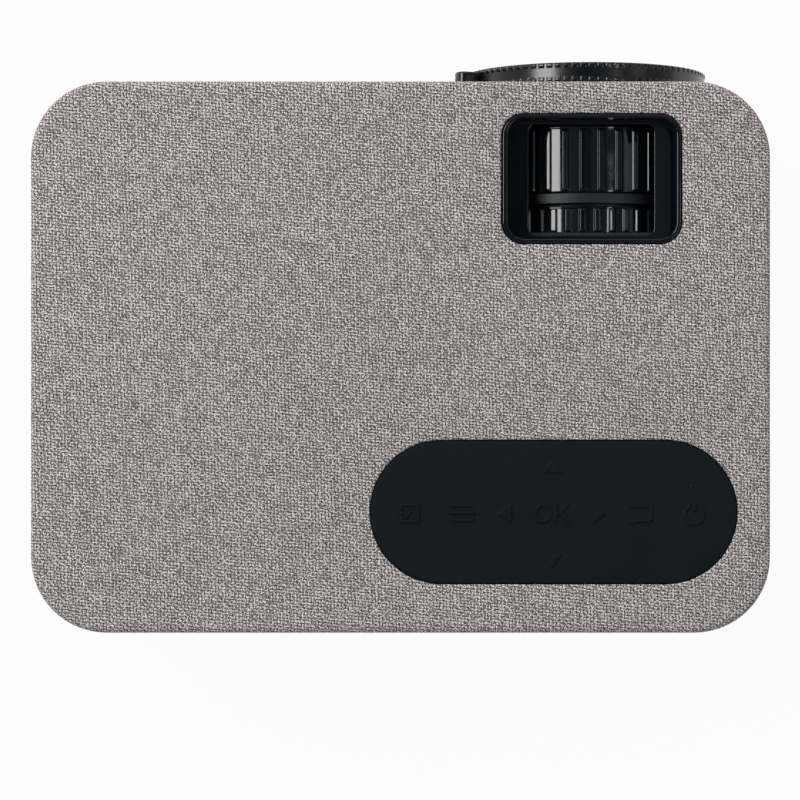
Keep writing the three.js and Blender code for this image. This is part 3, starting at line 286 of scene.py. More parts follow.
def linked(name, work, sharp=35):
    """The worked mesh as an object in the scene, with edges shaded smooth up to an angle."""
    for face in work.faces:
        face.smooth = True
    for edge in work.edges:
        edge.smooth = len(edge.link_faces) == 2 and edge.calc_face_angle(0) < math.radians(sharp)
    mesh = bpy.data.meshes.new(name)
    work.to_mesh(mesh)
    work.free()
    piece = bpy.data.objects.new(name, mesh)
    scene.collection.objects.link(piece)
    return piece


def loft(name, rings, closed=False, sharp=35):
    """A wall through the rings, with a cap on either end unless it is closed."""
    work = bmesh.new()
    rows = walls(work, rings, closed)
    if not closed:
        work.faces.new(rows[0])
        work.faces.new(rows[-1])
    bmesh.ops.remove_doubles(work, verts=work.verts, dist=1e-7)
    bmesh.ops.recalc_face_normals(work, faces=work.faces)
    return linked(name, work, sharp)


def extent(node):
    """A CAD node's lowest corner, highest corner and middle, in mm."""
    low, high = (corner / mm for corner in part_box(node))
    return low, high, [(a + b) / 2 for a, b in zip(low, high)]


def clothe(piece, material, body, *nodes, slot):
    """A finished piece gets its material, rides on its body and stands for its CAD nodes."""
    piece.data.materials.clear()
    piece.data.materials.append(material)
    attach(piece, body)
    if nodes:
        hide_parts(*nodes)
    print(piece.name, len(piece.data.polygons), "faces, on", body)


print("an outline has", len(rounded_outline((0, 0), (1, 1), 0.1)), "points")

# %% [markdown]
# ## Rounded corners, turned pieces and pierced sheets
#
# A moulding tool can't make a sharp corner, so each profile lists a radius where it turns. Rings,
# lenses, feet and the cap are round, and a lathe is the natural way to make them: the profile goes
# round an axis. The skin, the keypad and the grilles are sheets with holes, which need an outer wall,
# a wall in each hole and one flat face between them.

# %% Turned and pierced pieces
def filleted(corners, steps=4):
    """A closed polygon whose corners (across, up, radius) are rounded where they give a radius. A point
    beside each arc keeps the shading of the flat part flat."""
    points = []
    for i, (across, up, *radius) in enumerate(corners):
        here = Vector((across, up))
        if not radius:
            points.append(here)
            continue
        before = Vector(corners[i - 1][:2]) - here
        after = Vector(corners[(i + 1) % len(corners)][:2]) - here
        room = before.length, after.length
        before, after = before.normalized(), after.normalized()
        reach = radius[0] / math.tan(before.angle(after) / 2)
        if room[0] > 4 * reach:
            points.append(here + before * reach * 1.5)
        for step in range(steps + 1):
            t = step / steps
            points.append(here + before * reach * (1 - t) ** 2 + after * reach * t ** 2)
        if room[1] > 4 * reach:
            points.append(here + after * reach * 1.5)
    return points


def on_axis(axis, centre, along, across, angle):
    """A point round an axis. The angle starts from straight up, or from the rear about Z."""
    first, second = across * math.sin(angle), across * math.cos(angle)
    if axis == "Y":
        return (centre[0] + first, along, centre[1] + second)
    if axis == "X":
        return (along, centre[0] + first, centre[1] + second)
    return (centre[0] + first, centre[1] + second, along)


def turned(name, axis, centre, profile, sides=144, sharp=35):
    """A closed profile of (along the axis, out from it, radius of the corner) points, in mm."""
    turn = [2 * math.pi * side / sides for side in range(sides)]
    rings = [[on_axis(axis, centre, along, max(out, 0.0), a) for a in turn] for along, out in filleted(profile)]
    return loft(name, rings, True, sharp)


def pierced(name, outer, holes, bottom=True):
    """Outer rings from the bottom up, and each hole's rings from the top down, in mm."""
    work = bmesh.new()
    tops, bottoms = [], []
    for number, rings in enumerate([outer, *holes]):
        rows = walls(work, rings)
        first, last = (rows[0], rows[-1]) if number else (rows[-1], rows[0])
        for row, edges in ((first, tops), (last, bottoms)):
            edges += [work.edges.get((a, b)) for a, b in zip(row, row[1:] + row[:1])]
    for edges in (tops, bottoms) if bottom else (tops,):
        bmesh.ops.triangle_fill(work, use_beauty=True, use_dissolve=False, edges=edges)
    bmesh.ops.recalc_face_normals(work, faces=work.faces)
    return linked(name, work)


def merged(name, pieces, sharp=35):
    """Several bodies that are moulded as one piece."""
    work = bmesh.new()
    for piece in pieces:
        work.from_mesh(piece.data)
        bpy.data.objects.remove(piece)
    return linked(name, work, sharp)


def evaluated_mesh(source):
    """The mesh that an object's modifiers make. The object itself goes."""
    mesh = bpy.data.meshes.new_from_object(source.evaluated_get(bpy.context.evaluated_depsgraph_get()))
    bpy.data.objects.remove(source)
    return mesh


def plain_copy(source):
    """The evaluated object as a plain mesh, so that no modifier is left when it joins the frame."""
    name = source.name
    work = bmesh.new()
    work.from_mesh(evaluated_mesh(source))
    return linked(name, work)


print("a square corner becomes", len(filleted([(0, 0, 1), (0, 9), (9, 9), (9, 0)])) - 5, "points")

# %% [markdown]
# ## Woven polyester skin: the material
#
# The skin is a plain weave of thick, uneven yarn, the kind used on speakers. The warp lies 0.92 mm
# apart and the weft 0.85 mm, and the weft climbs six degrees, because such cloth is never glued on
# quite straight. From above one sees a bright crown on each crossing and a dark gap between threads.
# The pattern follows the surface, so it reads the skin's UV map, which holds the flat cut: where the
# cloth bends over the edge, the threads bend with it. A height is worked out for both threads from
# their crossings, the higher one shows, and the same height gives bump and colour. The colour is
# painted light: painted shade in the gaps and down the sides of each thread, and a painted highlight
# on each crown. Each warp thread has thicker, paler stretches, the slubs, which draw short upright
# lines.

# %% Woven polyester
skin_scale = 220.0  # the UV map's unit in mm
yarn, tree = finish("woven slub polyester yarn", "#a8a19f", 0.85, Sheen_Weight=0.25, Sheen_Roughness=0.5,
                    Specular_IOR_Level=0.25)
flat_cut = add(tree, "ShaderNodeUVMap", uv_map="flat_cut")
cloth = add(tree, "ShaderNodeMapping", {"Vector": flat_cut, "Scale": (skin_scale, skin_scale, 1)})
place = cloth
for scale, detail, amount in [(0.16, 0.0, 0.5), (0.75, 1.0, 0.14)]:
    noise = add(tree, "ShaderNodeTexNoise", {"Vector": cloth, "Scale": scale, "Detail": detail})
    centred = add(tree, "ShaderNodeVectorMath", {0: noise.outputs["Color"], 1: (0.5, 0.5, 0.5)},
                  operation="SUBTRACT")
    sway = add(tree, "ShaderNodeVectorMath", {0: centred, 1: (amount, amount, 0)}, operation="MULTIPLY")
    place = add(tree, "ShaderNodeVectorMath", {0: place, 1: sway}, operation="ADD")

warp_pitch, weft_pitch = 0.92, 0.85
warp, weft = (
    add(tree, "ShaderNodeVectorMath", {0: place, 1: threads_per_mm}, operation="DOT_PRODUCT").outputs["Value"]
    for threads_per_mm in [(1 / warp_pitch, 0.026 / warp_pitch, 0), (0.11 / weft_pitch, 1 / weft_pitch, 0)])


def thread_height(across, along, offset, share):
    """A round yarn that goes over and under the threads it crosses."""
    round_top = formula(tree, across, ("FRACT",), ("MULTIPLY_ADD", 2.0, -1.0), ("POWER", 2.0),
                        ("MULTIPLY_ADD", -1.0, 1.0), ("MAXIMUM", 0.0), ("SQRT",))
    return formula(tree, across, ("FLOOR",), ("ADD", along), ("ADD", offset), ("MULTIPLY", math.pi), ("COSINE",),
                   ("MULTIPLY_ADD", 0.3, 0.7), ("MULTIPLY", round_top), ("MULTIPLY", share))


height = formula(tree, thread_height(warp, weft, -0.5, 0.94), ("MAXIMUM", thread_height(weft, warp, 0.5, 1.07)))
end_number, pick_number = formula(tree, warp, ("FLOOR",)), formula(tree, weft, ("FLOOR",))
cell = add(tree, "ShaderNodeCombineXYZ", {"X": end_number, "Y": pick_number})
bead = add(tree, "ShaderNodeTexWhiteNoise", {"Vector": cell}, noise_dimensions="2D").outputs["Value"]
strand = add(tree, "ShaderNodeCombineXYZ", {"X": end_number, "Y": formula(tree, weft, ("MULTIPLY", 0.15))})
fibres, slub, cloudy = (
    add(tree, "ShaderNodeTexNoise", {"Vector": vector, "Scale": scale, "Detail": detail}).outputs["Fac"]
    for vector, scale, detail in [(cloth, 2.6, 0.0), (strand, 1.3, 0.0), (cloth, 0.35, 2.0)])
other_yarn = formula(tree, weft, ("MULTIPLY", math.pi), ("COSINE",))
# lit is the brightness painted into the cloth: from the thread height, painted shade low in the gaps and a painted
# highlight on the crowns, with random tone added
lit = formula(tree, warp, ("MULTIPLY", math.pi), ("COSINE",), ("MULTIPLY", other_yarn),
              ("MULTIPLY_ADD", 0.14, height))
for pattern, share in [(bead, 0.2), (fibres, 1.8), (slub, 0.24), (cloudy, 0.1)]:
    lit = formula(tree, pattern, ("MULTIPLY_ADD", share, -share / 2), ("ADD", lit))
# from painted shade in the gaps to a painted highlight on each crown
painted_shade_to_highlight = [(0.0, "#352f2f"), (0.45, "#665e5e"), (0.9, "#a59c9c"), (1.0, "#ece6e5")]
vary(tree, lit.outputs[0], painted_shade_to_highlight, relief=(0.25, 0.6))
print(yarn.name, len(tree.nodes), "nodes")

# %% [markdown]
# ## Woven polyester skin: the shape
#
# One piece of cloth is stretched over the roof, turned down 6 mm all round and tucked in. Its edge
# radius is 1.8 mm and its corners have the body's 20.5 mm. At the window and the keypad the cloth
# goes down round the cut edge. It is one pierced sheet, given its 0.8 mm by Solidify.

# %% Skin
body_centre, body_size, body_radius = (0.0, 2.8), (200.0, 149.2), 20.5
body_shape = body_centre, body_size, body_radius, 16
window_shape = (-51.7, -45.375), (48.6, 35.05), 5.9
pad_shape = (-41.4, 44.7), (99.1, 38.7), 19.349, 20
skin_edge, top_z, skirt_z = 1.8, 79.0, 73.0

skirt = [(0.0, skirt_z), (0.0, 74.5), (0.0, 76.0), (0.0, top_z - skin_edge)]
over_edge = [(inset, top_z - drop) for inset, drop in quarter_arc(skin_edge, 6)[1:]]
into_hole = [(-0.9, top_z), (-0.5, top_z - 0.06), (-0.29, top_z - 0.22), (-0.2, top_z - 0.45), (-0.2, 78.2)]
skin = pierced("fabric_skin", lifted(body_shape, skirt + over_edge + [(2.6, top_z)]),
               [lifted(window_shape, into_hole), lifted(pad_shape, into_hole)], bottom=False)
print("skin sheet", len(skin.data.polygons), "faces")

# %% [markdown]
# The UV map is the flat cut in millimetres: a point on the skirt lies as far outside the flat top as
# the cloth runs to reach it.

# %% Flat cut
def cut_place(x, y, z):
    core = [max(-s / 2 + body_radius, min(s / 2 - body_radius, v - c))
            for v, c, s in zip((x, y), body_centre, body_size)]
    off = Vector((x - body_centre[0] - core[0], y - body_centre[1] - core[1]))
    inset = body_radius - off.length
    if inset >= skin_edge:
        return x, y
    run = skin_edge * math.asin(min(1.0, (skin_edge - inset) / skin_edge)) + max(0.0, top_z - skin_edge - z)
    off = off.normalized() * (body_radius - skin_edge + run)
    return body_centre[0] + core[0] + off.x, body_centre[1] + core[1] + off.y


work = bmesh.new()
work.from_mesh(skin.data)
layer = work.loops.layers.uv.new("flat_cut")
for face in work.faces:
    for corner in face.loops:
        u, v = cut_place(*(value / mm for value in corner.vert.co))
        corner[layer].uv = (u / skin_scale + 0.5, v / skin_scale + 0.5)
bmesh.ops.recalc_face_normals(work, faces=work.faces)
if sum(face.normal.z * face.calc_area() for face in work.faces) < 0:
    bmesh.ops.reverse_faces(work, faces=work.faces)
work.to_mesh(skin.data)
area = sum(face.calc_area() for face in work.faces)
work.free()
wall = skin.modifiers.new("wall", "SOLIDIFY")
wall.thickness, wall.offset = 0.8 * mm, -1
skin = plain_copy(skin)
clothe(skin, yarn, "base", "fabric_cover", slot="fabric")
print("cloth", round(area * 1e4), "square cm")

# %% [markdown]
# ## Gloss ABS and satin paint
#
# The window frame, the rings and the cap are black ABS moulded in a polished tool. What one sees is
# almost only reflection, so the base is nearly black and the roughness low, with a slight unevenness
# from handling. The band between the rings is sprayed with a satin paint whose flakes glitter.

# %% Gloss ABS
gloss, tree = finish("gloss ABS from a polished mould", "#060f16", 0.06, IOR=1.54)
vary(tree, (0.18, 3.0), shine=(0.04, 0.1, 0.35, 0.7))
vary(tree, (0.3, 1.0), relief=(0.006, 1.0))
print(gloss.name)

# %% Satin paint
satin, tree = finish("satin flake paint on ABS", "#0c1216", 0.45, Specular_IOR_Level=0.46)
vary(tree, (1.9, 2.0), [(0.35, "#02060a"), (0.72, "#161f26")], relief=(0.09, 0.6))
print(satin.name)

# %% [markdown]
# ## Window frame
#
# A glossy frame lines the window. Its rim is 1.2 mm wide and rounded on both sides, which draws the
# thin light lines of the photograph. The walls go down 9 mm to a tray with an opening for the rings.
# All of it is one closed band of outlines: out, over the rim, down, in to the opening and back.

# %% Window frame
tray_z, tray_floor_z = 70.0, 68.5
inner_shape = (-51.8, -45.45), (45.7, 32.7), 4.6
opening_shape = (-52.2, -45.78), (34.5, 30.4), 2.2
frame_rings = lifted(window_shape, [(0.0, tray_floor_z), (0.2, 78.0), (0.2, 78.7), (0.24, 78.87), (0.34, 78.97),
                                    (0.5, top_z)])
frame_rings += lifted(inner_shape, [(-0.3, top_z), (-0.14, top_z - 0.04), (-0.03, top_z - 0.15), (0.0, top_z - 0.3),
                                    (0.0, tray_z + 0.1), (0.1, tray_z), (0.3, tray_z)])
frame_rings += lifted(opening_shape, [(-0.3, tray_z), (-0.12, tray_z), (-0.03, tray_z - 0.04), (0.0, tray_z - 0.15),
                                      (0.0, tray_floor_z)])
clothe(loft("window_frame", frame_rings, True), gloss, "base", "window_bezel", slot="gloss")

# %% [markdown]
# ## Ribs round a ring
#
# The focus and keystone rings carry moulded ribs for the fingertips, the cap has 92 teeth and the
# foot's knob is knurled. Each is one small rib, repeated round an axis by one Geometry Nodes tree: a
# point for each rib, turned about the axis, an instance of the rib on it, and the ring itself joined
# to them. Realize Instances and Set Material come last, and the result becomes a plain mesh.

# %% Tree for ribs
lens_axis = (-52.0, 41.0)
round_axis = bpy.data.node_groups.new("ribs round an axis", "GeometryNodeTree")
sockets = {}
for name, kind in [("Geometry", "Geometry"), ("Rib", "Object"), ("Count", "Int"), ("Phase", "Float"),
                   ("Axis", "Vector"), ("Centre", "Vector"), ("Start", "Vector"), ("Finish", "Material")]:
    made = round_axis.interface.new_socket(name, in_out="INPUT", socket_type="NodeSocket" + kind)
    sockets[name] = made.identifier
round_axis.interface.new_socket("Geometry", in_out="OUTPUT", socket_type="NodeSocketGeometry")
given = add(round_axis, "NodeGroupInput").outputs
index = add(round_axis, "GeometryNodeInputIndex")
step = add(round_axis, "ShaderNodeMath", {0: 2 * math.pi, 1: given["Count"]}, operation="DIVIDE")
turn = add(round_axis, "ShaderNodeMath", {0: index, 1: step, 2: given["Phase"]}, operation="MULTIPLY_ADD")
arm = add(round_axis, "ShaderNodeVectorRotate", {"Vector": given["Start"], "Axis": given["Axis"], "Angle": turn},
          rotation_type="AXIS_ANGLE")
spot = add(round_axis, "ShaderNodeVectorMath", {0: arm, 1: given["Centre"]}, operation="ADD")
points = add(round_axis, "GeometryNodePoints", {"Count": given["Count"], "Position": spot})
facing = add(round_axis, "FunctionNodeAxisAngleToRotation", {"Axis": given["Axis"], "Angle": turn})
shape = add(round_axis, "GeometryNodeObjectInfo", {"Object": given["Rib"]})
copies = add(round_axis, "GeometryNodeInstanceOnPoints", {"Points": points, "Rotation": facing,
             "Instance": shape.outputs["Geometry"]})
together = add(round_axis, "GeometryNodeJoinGeometry")
round_axis.links.new(copies.outputs[0], together.inputs[0])
round_axis.links.new(given["Geometry"], together.inputs[0])
real = add(round_axis, "GeometryNodeRealizeInstances", {"Geometry": together})
coated = add(round_axis, "GeometryNodeSetMaterial", {"Geometry": real, "Material": given["Finish"]})
add(round_axis, "NodeGroupOutput", {"Geometry": coated})


def ribbed(piece, material, count, degrees, rib, radius, axis="Y", centre=lens_axis):
    """The piece with ribs round an axis, as a plain mesh. The tree's inputs are set by identifier."""
    growth = piece.modifiers.new("ribs", "NODES")
    growth.node_group = round_axis
    for key, value in {
        "Rib": rib, "Finish": material, "Count": count, "Phase": math.radians(degrees),
        "Axis": on_axis(axis, (0, 0), 1.0, 0, 0),
        "Centre": [value * mm for value in on_axis(axis, centre, 0.0, 0, 0)],
        "Start": [value * mm for value in on_axis(axis, (0, 0), 0.0, radius, 0)],
    }.items():
        growth[sockets[key]] = value
    result = plain_copy(piece)
    bpy.data.objects.remove(rib)
    return result


print(round_axis.name, len(round_axis.nodes), "nodes, lens axis at X", lens_axis[0], "Z", lens_axis[1], "mm")

# %% [markdown]
# A rib is a small bar with rounded long edges and ends that run out into the ring, as a mould with a
# rounded groove leaves it. It is made about the origin, with its foot a little inside the ring, and
# has only a few dozen faces.

# %% A rib
def s_curve(t):
    return t * t * (3 - 2 * t)


def bump(foot, top, rise, radius, steps):
    """Across a rib: an S-curve up each flank, hollow at the foot, steep in the middle, round at the top.
    It stands on a ring of the given radius, and so it bends down with it to both sides."""
    left = []
    for i in range(steps + 1):
        away = foot / 2 - (foot - top) / 2 * i / steps
        left.append((-away, rise * s_curve(s_curve(i / steps)) - away ** 2 / (2 * radius) - 0.01))
    sunk = left[0][1] - 0.12
    return [(-foot / 2, sunk), *left, *[(-x, y) for x, y in reversed(left)], (foot / 2, sunk)]


def rib_bar(name, axis, place, foot, top, rise, length, radius, steps=9,
            heights=((0.0, 0.1), (0.2, 0.7), (0.5, 1.0), (0.8, 1.0))):
    """A bar along the axis about its place, whose heights are shares of the rise at a way from either end.
    It stands on Z for an axis Y, and on Y for an axis Z."""
    ways = [(way - length / 2, share) for way, share in heights]
    sections = []
    for along, share in ways + [(-way, share) for way, share in reversed(ways)]:
        outline = bump(foot, top, rise * share, radius, steps)
        if axis == "Y":
            sections.append([(x, place + along, z) for x, z in outline])
        else:
            sections.append([(x, y, place + along) for x, y in outline])
    return loft(name, sections, sharp=50)


print("half a rib's outline has", len(bump(2.5, 1.1, 0.5, 28.5, 9)) // 2, "points")

# %% [markdown]
# ## Focus ring and keystone ring
#
# Both rings are gloss black. The focus ring is 18 mm long with a low collar at its front and 36
# ribs, and the keystone ring is 7.2 mm long with 42 ribs. The profile of a ring is a closed band:
# bore, front end with its collar, outside, rear end.

# %% Focus ring
ring_bore, focus_radius, keystone_radius = 24.8, 28.5, 27.1


def ring_profile(start, end, radius, collar, rise):
    return [
        (start, ring_bore), (start, radius + rise, 0.35), (start + collar, radius + rise, 0.2),
        (start + collar + 0.2, radius, 0.12), (end, radius, 0.25), (end, ring_bore),
    ]


focus_ring = turned("focus_ring_ribbed", "Y", lens_axis, ring_profile(-60.65, -42.55, focus_radius, 0.6, 0.3), 180)
rib = rib_bar("rib", "Y", -51.3, 2.5, 1.1, 0.5, 17.1, focus_radius)
focus_ring = ribbed(focus_ring, gloss, 36, -6.1, rib, focus_radius)
clothe(focus_ring, gloss, "focus", "focus_ring", slot="gloss")

# %% Keystone ring
keystone_profile = ring_profile(-38.6, -31.4, keystone_radius, 0.3, 0.3)
keystone_ring = turned("keystone_ring_ribbed", "Y", lens_axis, keystone_profile, 180)
rib = rib_bar("rib", "Y", -34.9, 2.4, 1.0, 0.5, 6.7, keystone_radius)
keystone_ring = ribbed(keystone_ring, gloss, 42, -4.3, rib, keystone_radius)
clothe(keystone_ring, gloss, "keystone", "keystone_ring", slot="gloss")

# %% [markdown]
# ## Lens hood, sleeve and barrel
#
# The hood is the trim ring round the lens: gloss outside, with a funnel that narrows to the glass and
# a collar that reaches back to the focus ring. The sleeve behind it carries the satin band, and the
# barrel slides in it. All three are closed profiles round the lens axis.

# %% Hood and sleeve
hood = turned("lens_hood_trim", "Y", lens_axis, [
    (-75.1, 28.8, 0.25), (-75.1, 30.0, 0.4), (-67.7, 30.0), (-67.7, 32.5), (-66.2, 32.5), (-66.2, 27.5),
    (-61.0, 27.5, 0.3), (-61.0, 24.8), (-63.2, 24.8), (-63.2, 22.3), (-70.5, 22.3, 0.3),
])
clothe(hood, gloss, "base", "lens_hood", slot="gloss")
sleeve = turned("lens_sleeve", "Y", lens_axis, [
    (-62.9, 22.3), (-62.9, 24.5), (-42.25, 24.5), (-42.25, 28.4, 0.2), (-39.45, 28.4, 0.2), (-39.45, 24.5),
    (-29.05, 24.5), (-29.05, 22.3),
])
clothe(sleeve, satin, "base", "lens_mount", slot="satin")

# %% [markdown]
# ## Lens cap
#
# The cap is a shallow cup that pulls off the hood. Its rim has 92 fine teeth, 2.3 mm apart, which are
# highest at both edges and nearly run out between them, and one lug for a thumb nail. The face is
# reasoned: a shallow dish inside a raised rim, which keeps the middle from scratches.

# %% Semi-gloss ABS
semi_gloss, tree = finish("semi-gloss ABS from a brushed mould", "#020609", 0.22, IOR=1.58)
vary(tree, (1.1, 3.0), shine=(0.17, 0.27), relief=(0.01, 0.5))
print(semi_gloss.name)

# %% Lens cap
cap_front, cap_back, rim_radius = -77.4, -72.1, 34.15
cup = turned("cup", "Y", lens_axis, [
    (cap_front + 0.7, 0.0), (cap_front + 0.7, 28.6, 0.6), (cap_front, 29.6, 0.5), (cap_front, rim_radius, 0.3),
    (cap_back, rim_radius, 0.3), (cap_back, 30.3, 0.2), (-75.4, 30.3, 0.3), (-75.4, 0.0),
], 184)
lug_tilt = math.radians(65)
side, up = math.sin(lug_tilt), math.cos(lug_tilt)
lug_shape = (0, rim_radius + 0.7), (5.0, 10.6), 2.0, 8
lug_rings = lifted(lug_shape, [
    (0.7, cap_front + 0.6), (0.3, cap_front + 0.68), (0.08, cap_front + 0.95), (0.0, cap_front + 1.3),
    (0.0, cap_back - 0.5), (0.1, cap_back - 0.2), (0.35, cap_back - 0.1)])
lug = loft("lug", [[(lens_axis[0] + x * up + out * side, along, lens_axis[1] - x * side + out * up)
                    for x, out, along in ring] for ring in lug_rings])
tooth = rib_bar("tooth", "Y", (cap_front + cap_back) / 2, 2.0, 0.9, 0.29, 5.0, rim_radius, 5,
                ((0.0, 0.1), (0.2, 0.7), (0.45, 1.0), (0.9, 0.6), (1.5, -0.2)))
cap = ribbed(merged("lens_cap_toothed", [cup, lug]), semi_gloss, 92, 0.0, tooth, rim_radius)
clothe(cap, semi_gloss, "cap", "lens_cap", slot="gloss")

# %% [markdown]
# ## Silicone keypad: the material
#
# The pad and its keys are moulded in black silicone rubber with a fine matt tool texture. It takes
# light softly, has a faint bluish cast and catches some dust.

# %% Silicone
silicone, tree = finish("matt moulded silicone rubber", "#121618", 0.62, IOR=1.41, Specular_IOR_Level=0.18)
vary(tree, (0.06, 4.0), [(0.3, "#0e1418"), (0.75, "#13191d")])
vary(tree, (3.0, 2.0), relief=(0.03, 0.5))
print(silicone.name)

# %% [markdown]
# ## Silicone keypad: the pad
#
# The pad is a stadium 99 mm long, sunk 0.3 mm in the cloth, with a rounded edge. Each key is cut free
# from it by a hair line, so that it can press alone. The keys' places are measured from the middle
# of the OK key, with the reader behind the projector: to the reader's right is -X.

# %% Keypad pad
key_row, key_column, key_radius, ok_radius, pad_z = 45.0, -40.95, 5.0, 6.1, 78.7
key_places = {
    "source": (38.4, 0), "menu": (24.1, 0), "left": (12.85, 0), "ok": (0, 0), "right": (-12.85, 0),
    "back": (-24.1, 0), "power": (-38.4, 0), "up": (0, -12.85), "down": (0, 12.85),
}
keys = [(name, (key_column + x, key_row + y), ok_radius if name == "ok" else key_radius)
        for name, (x, y) in key_places.items()]
pad_low = extent("keypad_pad")[0].z
pad_edge = [(0.0, pad_low), (0.0, pad_z - 0.5)]
pad_edge += [(inset, pad_z - drop) for inset, drop in quarter_arc(0.5)[1:]] + [(1.2, pad_z)]
hair_line = 0.006
holes = [circles(middle, [(radius + hair_line, z) for z in (pad_z, pad_low)], 48) for name, middle, radius in keys]
light_place = (-78.35, 37.6)
holes.append(circles(light_place, [(0.62, pad_z), (0.53, pad_z - 0.1), (0.53, pad_low)], 24))
pad = pierced("keypad_silicone", lifted(pad_shape, pad_edge), holes)
clothe(pad, silicone, "base", "keypad_pad", slot="silicone")

# %% [markdown]
# ## Silicone keypad: keys and icons
#
# Every key carries a raised icon, 0.28 mm high. A line of it is a slab 1.1 mm wide at its foot, with
# slanting sides that catch the light or lose it: an outline is drawn at half the width on either side
# of the line, round its ends, and lofted to a narrower top. The icons are drawn upright, in
# millimetres to the reader's right and up, and turned half a turn as they are placed.

# %% Icons
def bent(centre, radii, degrees, steps):
    turn = [math.radians(degrees[0] + (degrees[1] - degrees[0]) * i / steps) for i in range(steps + 1)]
    return [(centre[0] + radii[0] * math.cos(a), centre[1] + radii[1] * math.sin(a)) for a in turn]


def triangle(turn_degrees, half=3.15, depth=4.1):
    """A solid triangle: its three corners, pointing up before the turn."""
    turn = math.radians(turn_degrees)
    corners = [(-half, -depth / 2), (half, -depth / 2), (0, depth / 2)]
    return [(x * math.cos(turn) - y * math.sin(turn), x * math.sin(turn) + y * math.cos(turn)) for x, y in corners]


square = [(-2.2, 1.3), (-2.2, 1.9)] + bent((-1.9, 2.0), (0.3, 0.3), (180, 90), 3)
square += bent((1.7, 1.8), (0.5, 0.5), (90, 0), 4) + bent((1.7, -1.8), (0.5, 0.5), (0, -90), 4)
square += [(-1.9, -2.3), (-2.2, -2.0), (-2.2, -1.3)]
icons = {
    "source": [square, [(-2.9, 0), (-0.3, 0)], [(-1.2, 1.1), (-0.1, 0)], [(-1.2, -1.1), (-0.1, 0)]],
    "menu": [[(-2.7, y), (2.7, y)] for y in (2.07, 0.1, -1.87)],
    "left": triangle(90),
    "right": triangle(-90),
    "up": triangle(0),
    "down": triangle(180),
    "ok": [bent((-2.45, 0), (1.95, 2.25), (90, 450), 28), [(0.95, 2.3), (0.95, -2.3)],
           [(4.1, 2.3), (0.95, -0.55)], [(2.05, 0.45), (4.4, -2.3)]],
    "back": [[(-3.2, 2.6), (-2.8, 2.0)] + bent((1.9, 1.1), (0.9, 0.9), (90, 0), 5)
             + bent((1.9, -1.1), (0.9, 0.9), (0, -90), 5) + [(-3.2, -2.0)],
             [(-2.2, -1.2), (-3.2, -2.0)], [(-2.2, -2.8), (-3.2, -2.0)]],
    "power": [bent((0, -0.4), (2.6, 2.6), (118, 422), 26), [(0, 0.8), (0, 3.0)]],
}
print("icons:", ", ".join(icons))

# %% Keys
# (inset, height) up the side of an icon
slanting = [(0.0, -0.1), (0.0, 0.01), (0.13, 0.22), (0.2, 0.268), (0.3, 0.283)]
line_width = 1.1
mitre_limit = 2.5  # a corner reaches at most this many half widths out
layer = 0.005  # lines that cross lie at different heights, so that no two faces share a place


def placed(points, middle, z):
    return [(middle[0] - right, middle[1] - up, z) for right, up in points]


def beside(line, way, closed):
    """The line moved sideways by a way, with mitred corners."""
    points = []
    for i, here in enumerate(line):
        here = Vector(here)
        before = Vector(line[i - 1]) if i or closed else None
        after = Vector(line[(i + 1) % len(line)]) if i + 1 < len(line) or closed else None
        steps = [(b - a).normalized() for a, b in ((before, here), (here, after)) if a and b]
        normals = [Vector((-step.y, step.x)) for step in steps]
        mean = sum(normals, Vector((0, 0))).normalized()
        points.append(here + mean * way / max(1 / mitre_limit, mean.dot(normals[0])))
    return points


def raised_line(line, middle, base):
    closed = math.dist(line[0], line[-1]) < 0.01
    line = line[:-1] if closed else line
    lefts, rights, outlines = [], [], []
    for inset, z in slanting:
        half = line_width / 2 - inset
        left, right = beside(line, half, closed), beside(line, -half, closed)
        lefts.append(placed(left, middle, base + z))
        rights.append(placed(right, middle, base + z))
        ends = []
        for end, side in ((Vector(line[-1]), left[-1]), (Vector(line[0]), right[0])):
            ends.append([end + Matrix.Rotation(-math.pi * i / 6, 2) @ (side - end) for i in range(1, 6)])
        outlines.append(placed(left + ends[0] + right[::-1] + ends[1], middle, base + z))
    return loft("line", lefts + rights[::-1] if closed else outlines, closed, 60)


def raised_triangle(corners, middle, base):
    """A plateau with rounded corners, smaller towards its top."""
    heart = [sum(values) / 3 for values in zip(*corners)]
    rings = []
    for inset, z in slanting:
        size = 1 - inset / 1.2
        small = [(heart[0] + (x - heart[0]) * size, heart[1] + (y - heart[1]) * size, 0.3) for x, y in corners]
        rings.append(placed(filleted(small, 5), middle, base + z))
    return loft("triangle", rings, sharp=60)


for name, middle, radius in keys:
    low = extent("key_" + name)[0].z
    profile = [(low, 0.0), (low, 2.0), (pad_z - 2.0, 2.0), (pad_z - 2.0, radius), (pad_z, radius), (pad_z, 0.0)]
    button = turned("button", "Z", middle, profile, 64)
    if name in ("up", "down", "left", "right"):
        raised = [raised_triangle(icons[name], middle, pad_z)]
    else:
        raised = [raised_line(line, middle, pad_z + layer * i) for i, line in enumerate(icons[name])]
    key = merged("key_" + name + "_silicone", [button, *raised], 40)
    clothe(key, silicone, name + "_key", "key_" + name, slot="silicone")

# %% [markdown]
# ## Charcoal ABS for the housing
#
# Shells, panels and grilles are charcoal ABS from a spark-eroded mould: a fine even texture that
# breaks the light, half-way between matt and satin.

# %% Charcoal ABS
housing, tree = finish("charcoal ABS from a spark-eroded mould", "#1c1f21", 0.5, IOR=1.54)
vary(tree, (2.4, 3.0), shine=(0.42, 0.62), relief=(0.06, 0.7))
vary(tree, (0.03, 2.0), [(0.3, "#191c1e"), (0.7, "#1f2224")])
print(housing.name)

# %% [markdown]
# ## Shells, panels and grilles
#
# Their shapes are right in the CAD model, but its edges are knife sharp, and a real edge catches a
# line of light. So each gets a merged copy of the CAD mesh with a small Bevel on the sharp edges, and
# Weighted Normal keeps the broad faces flat in the shading.

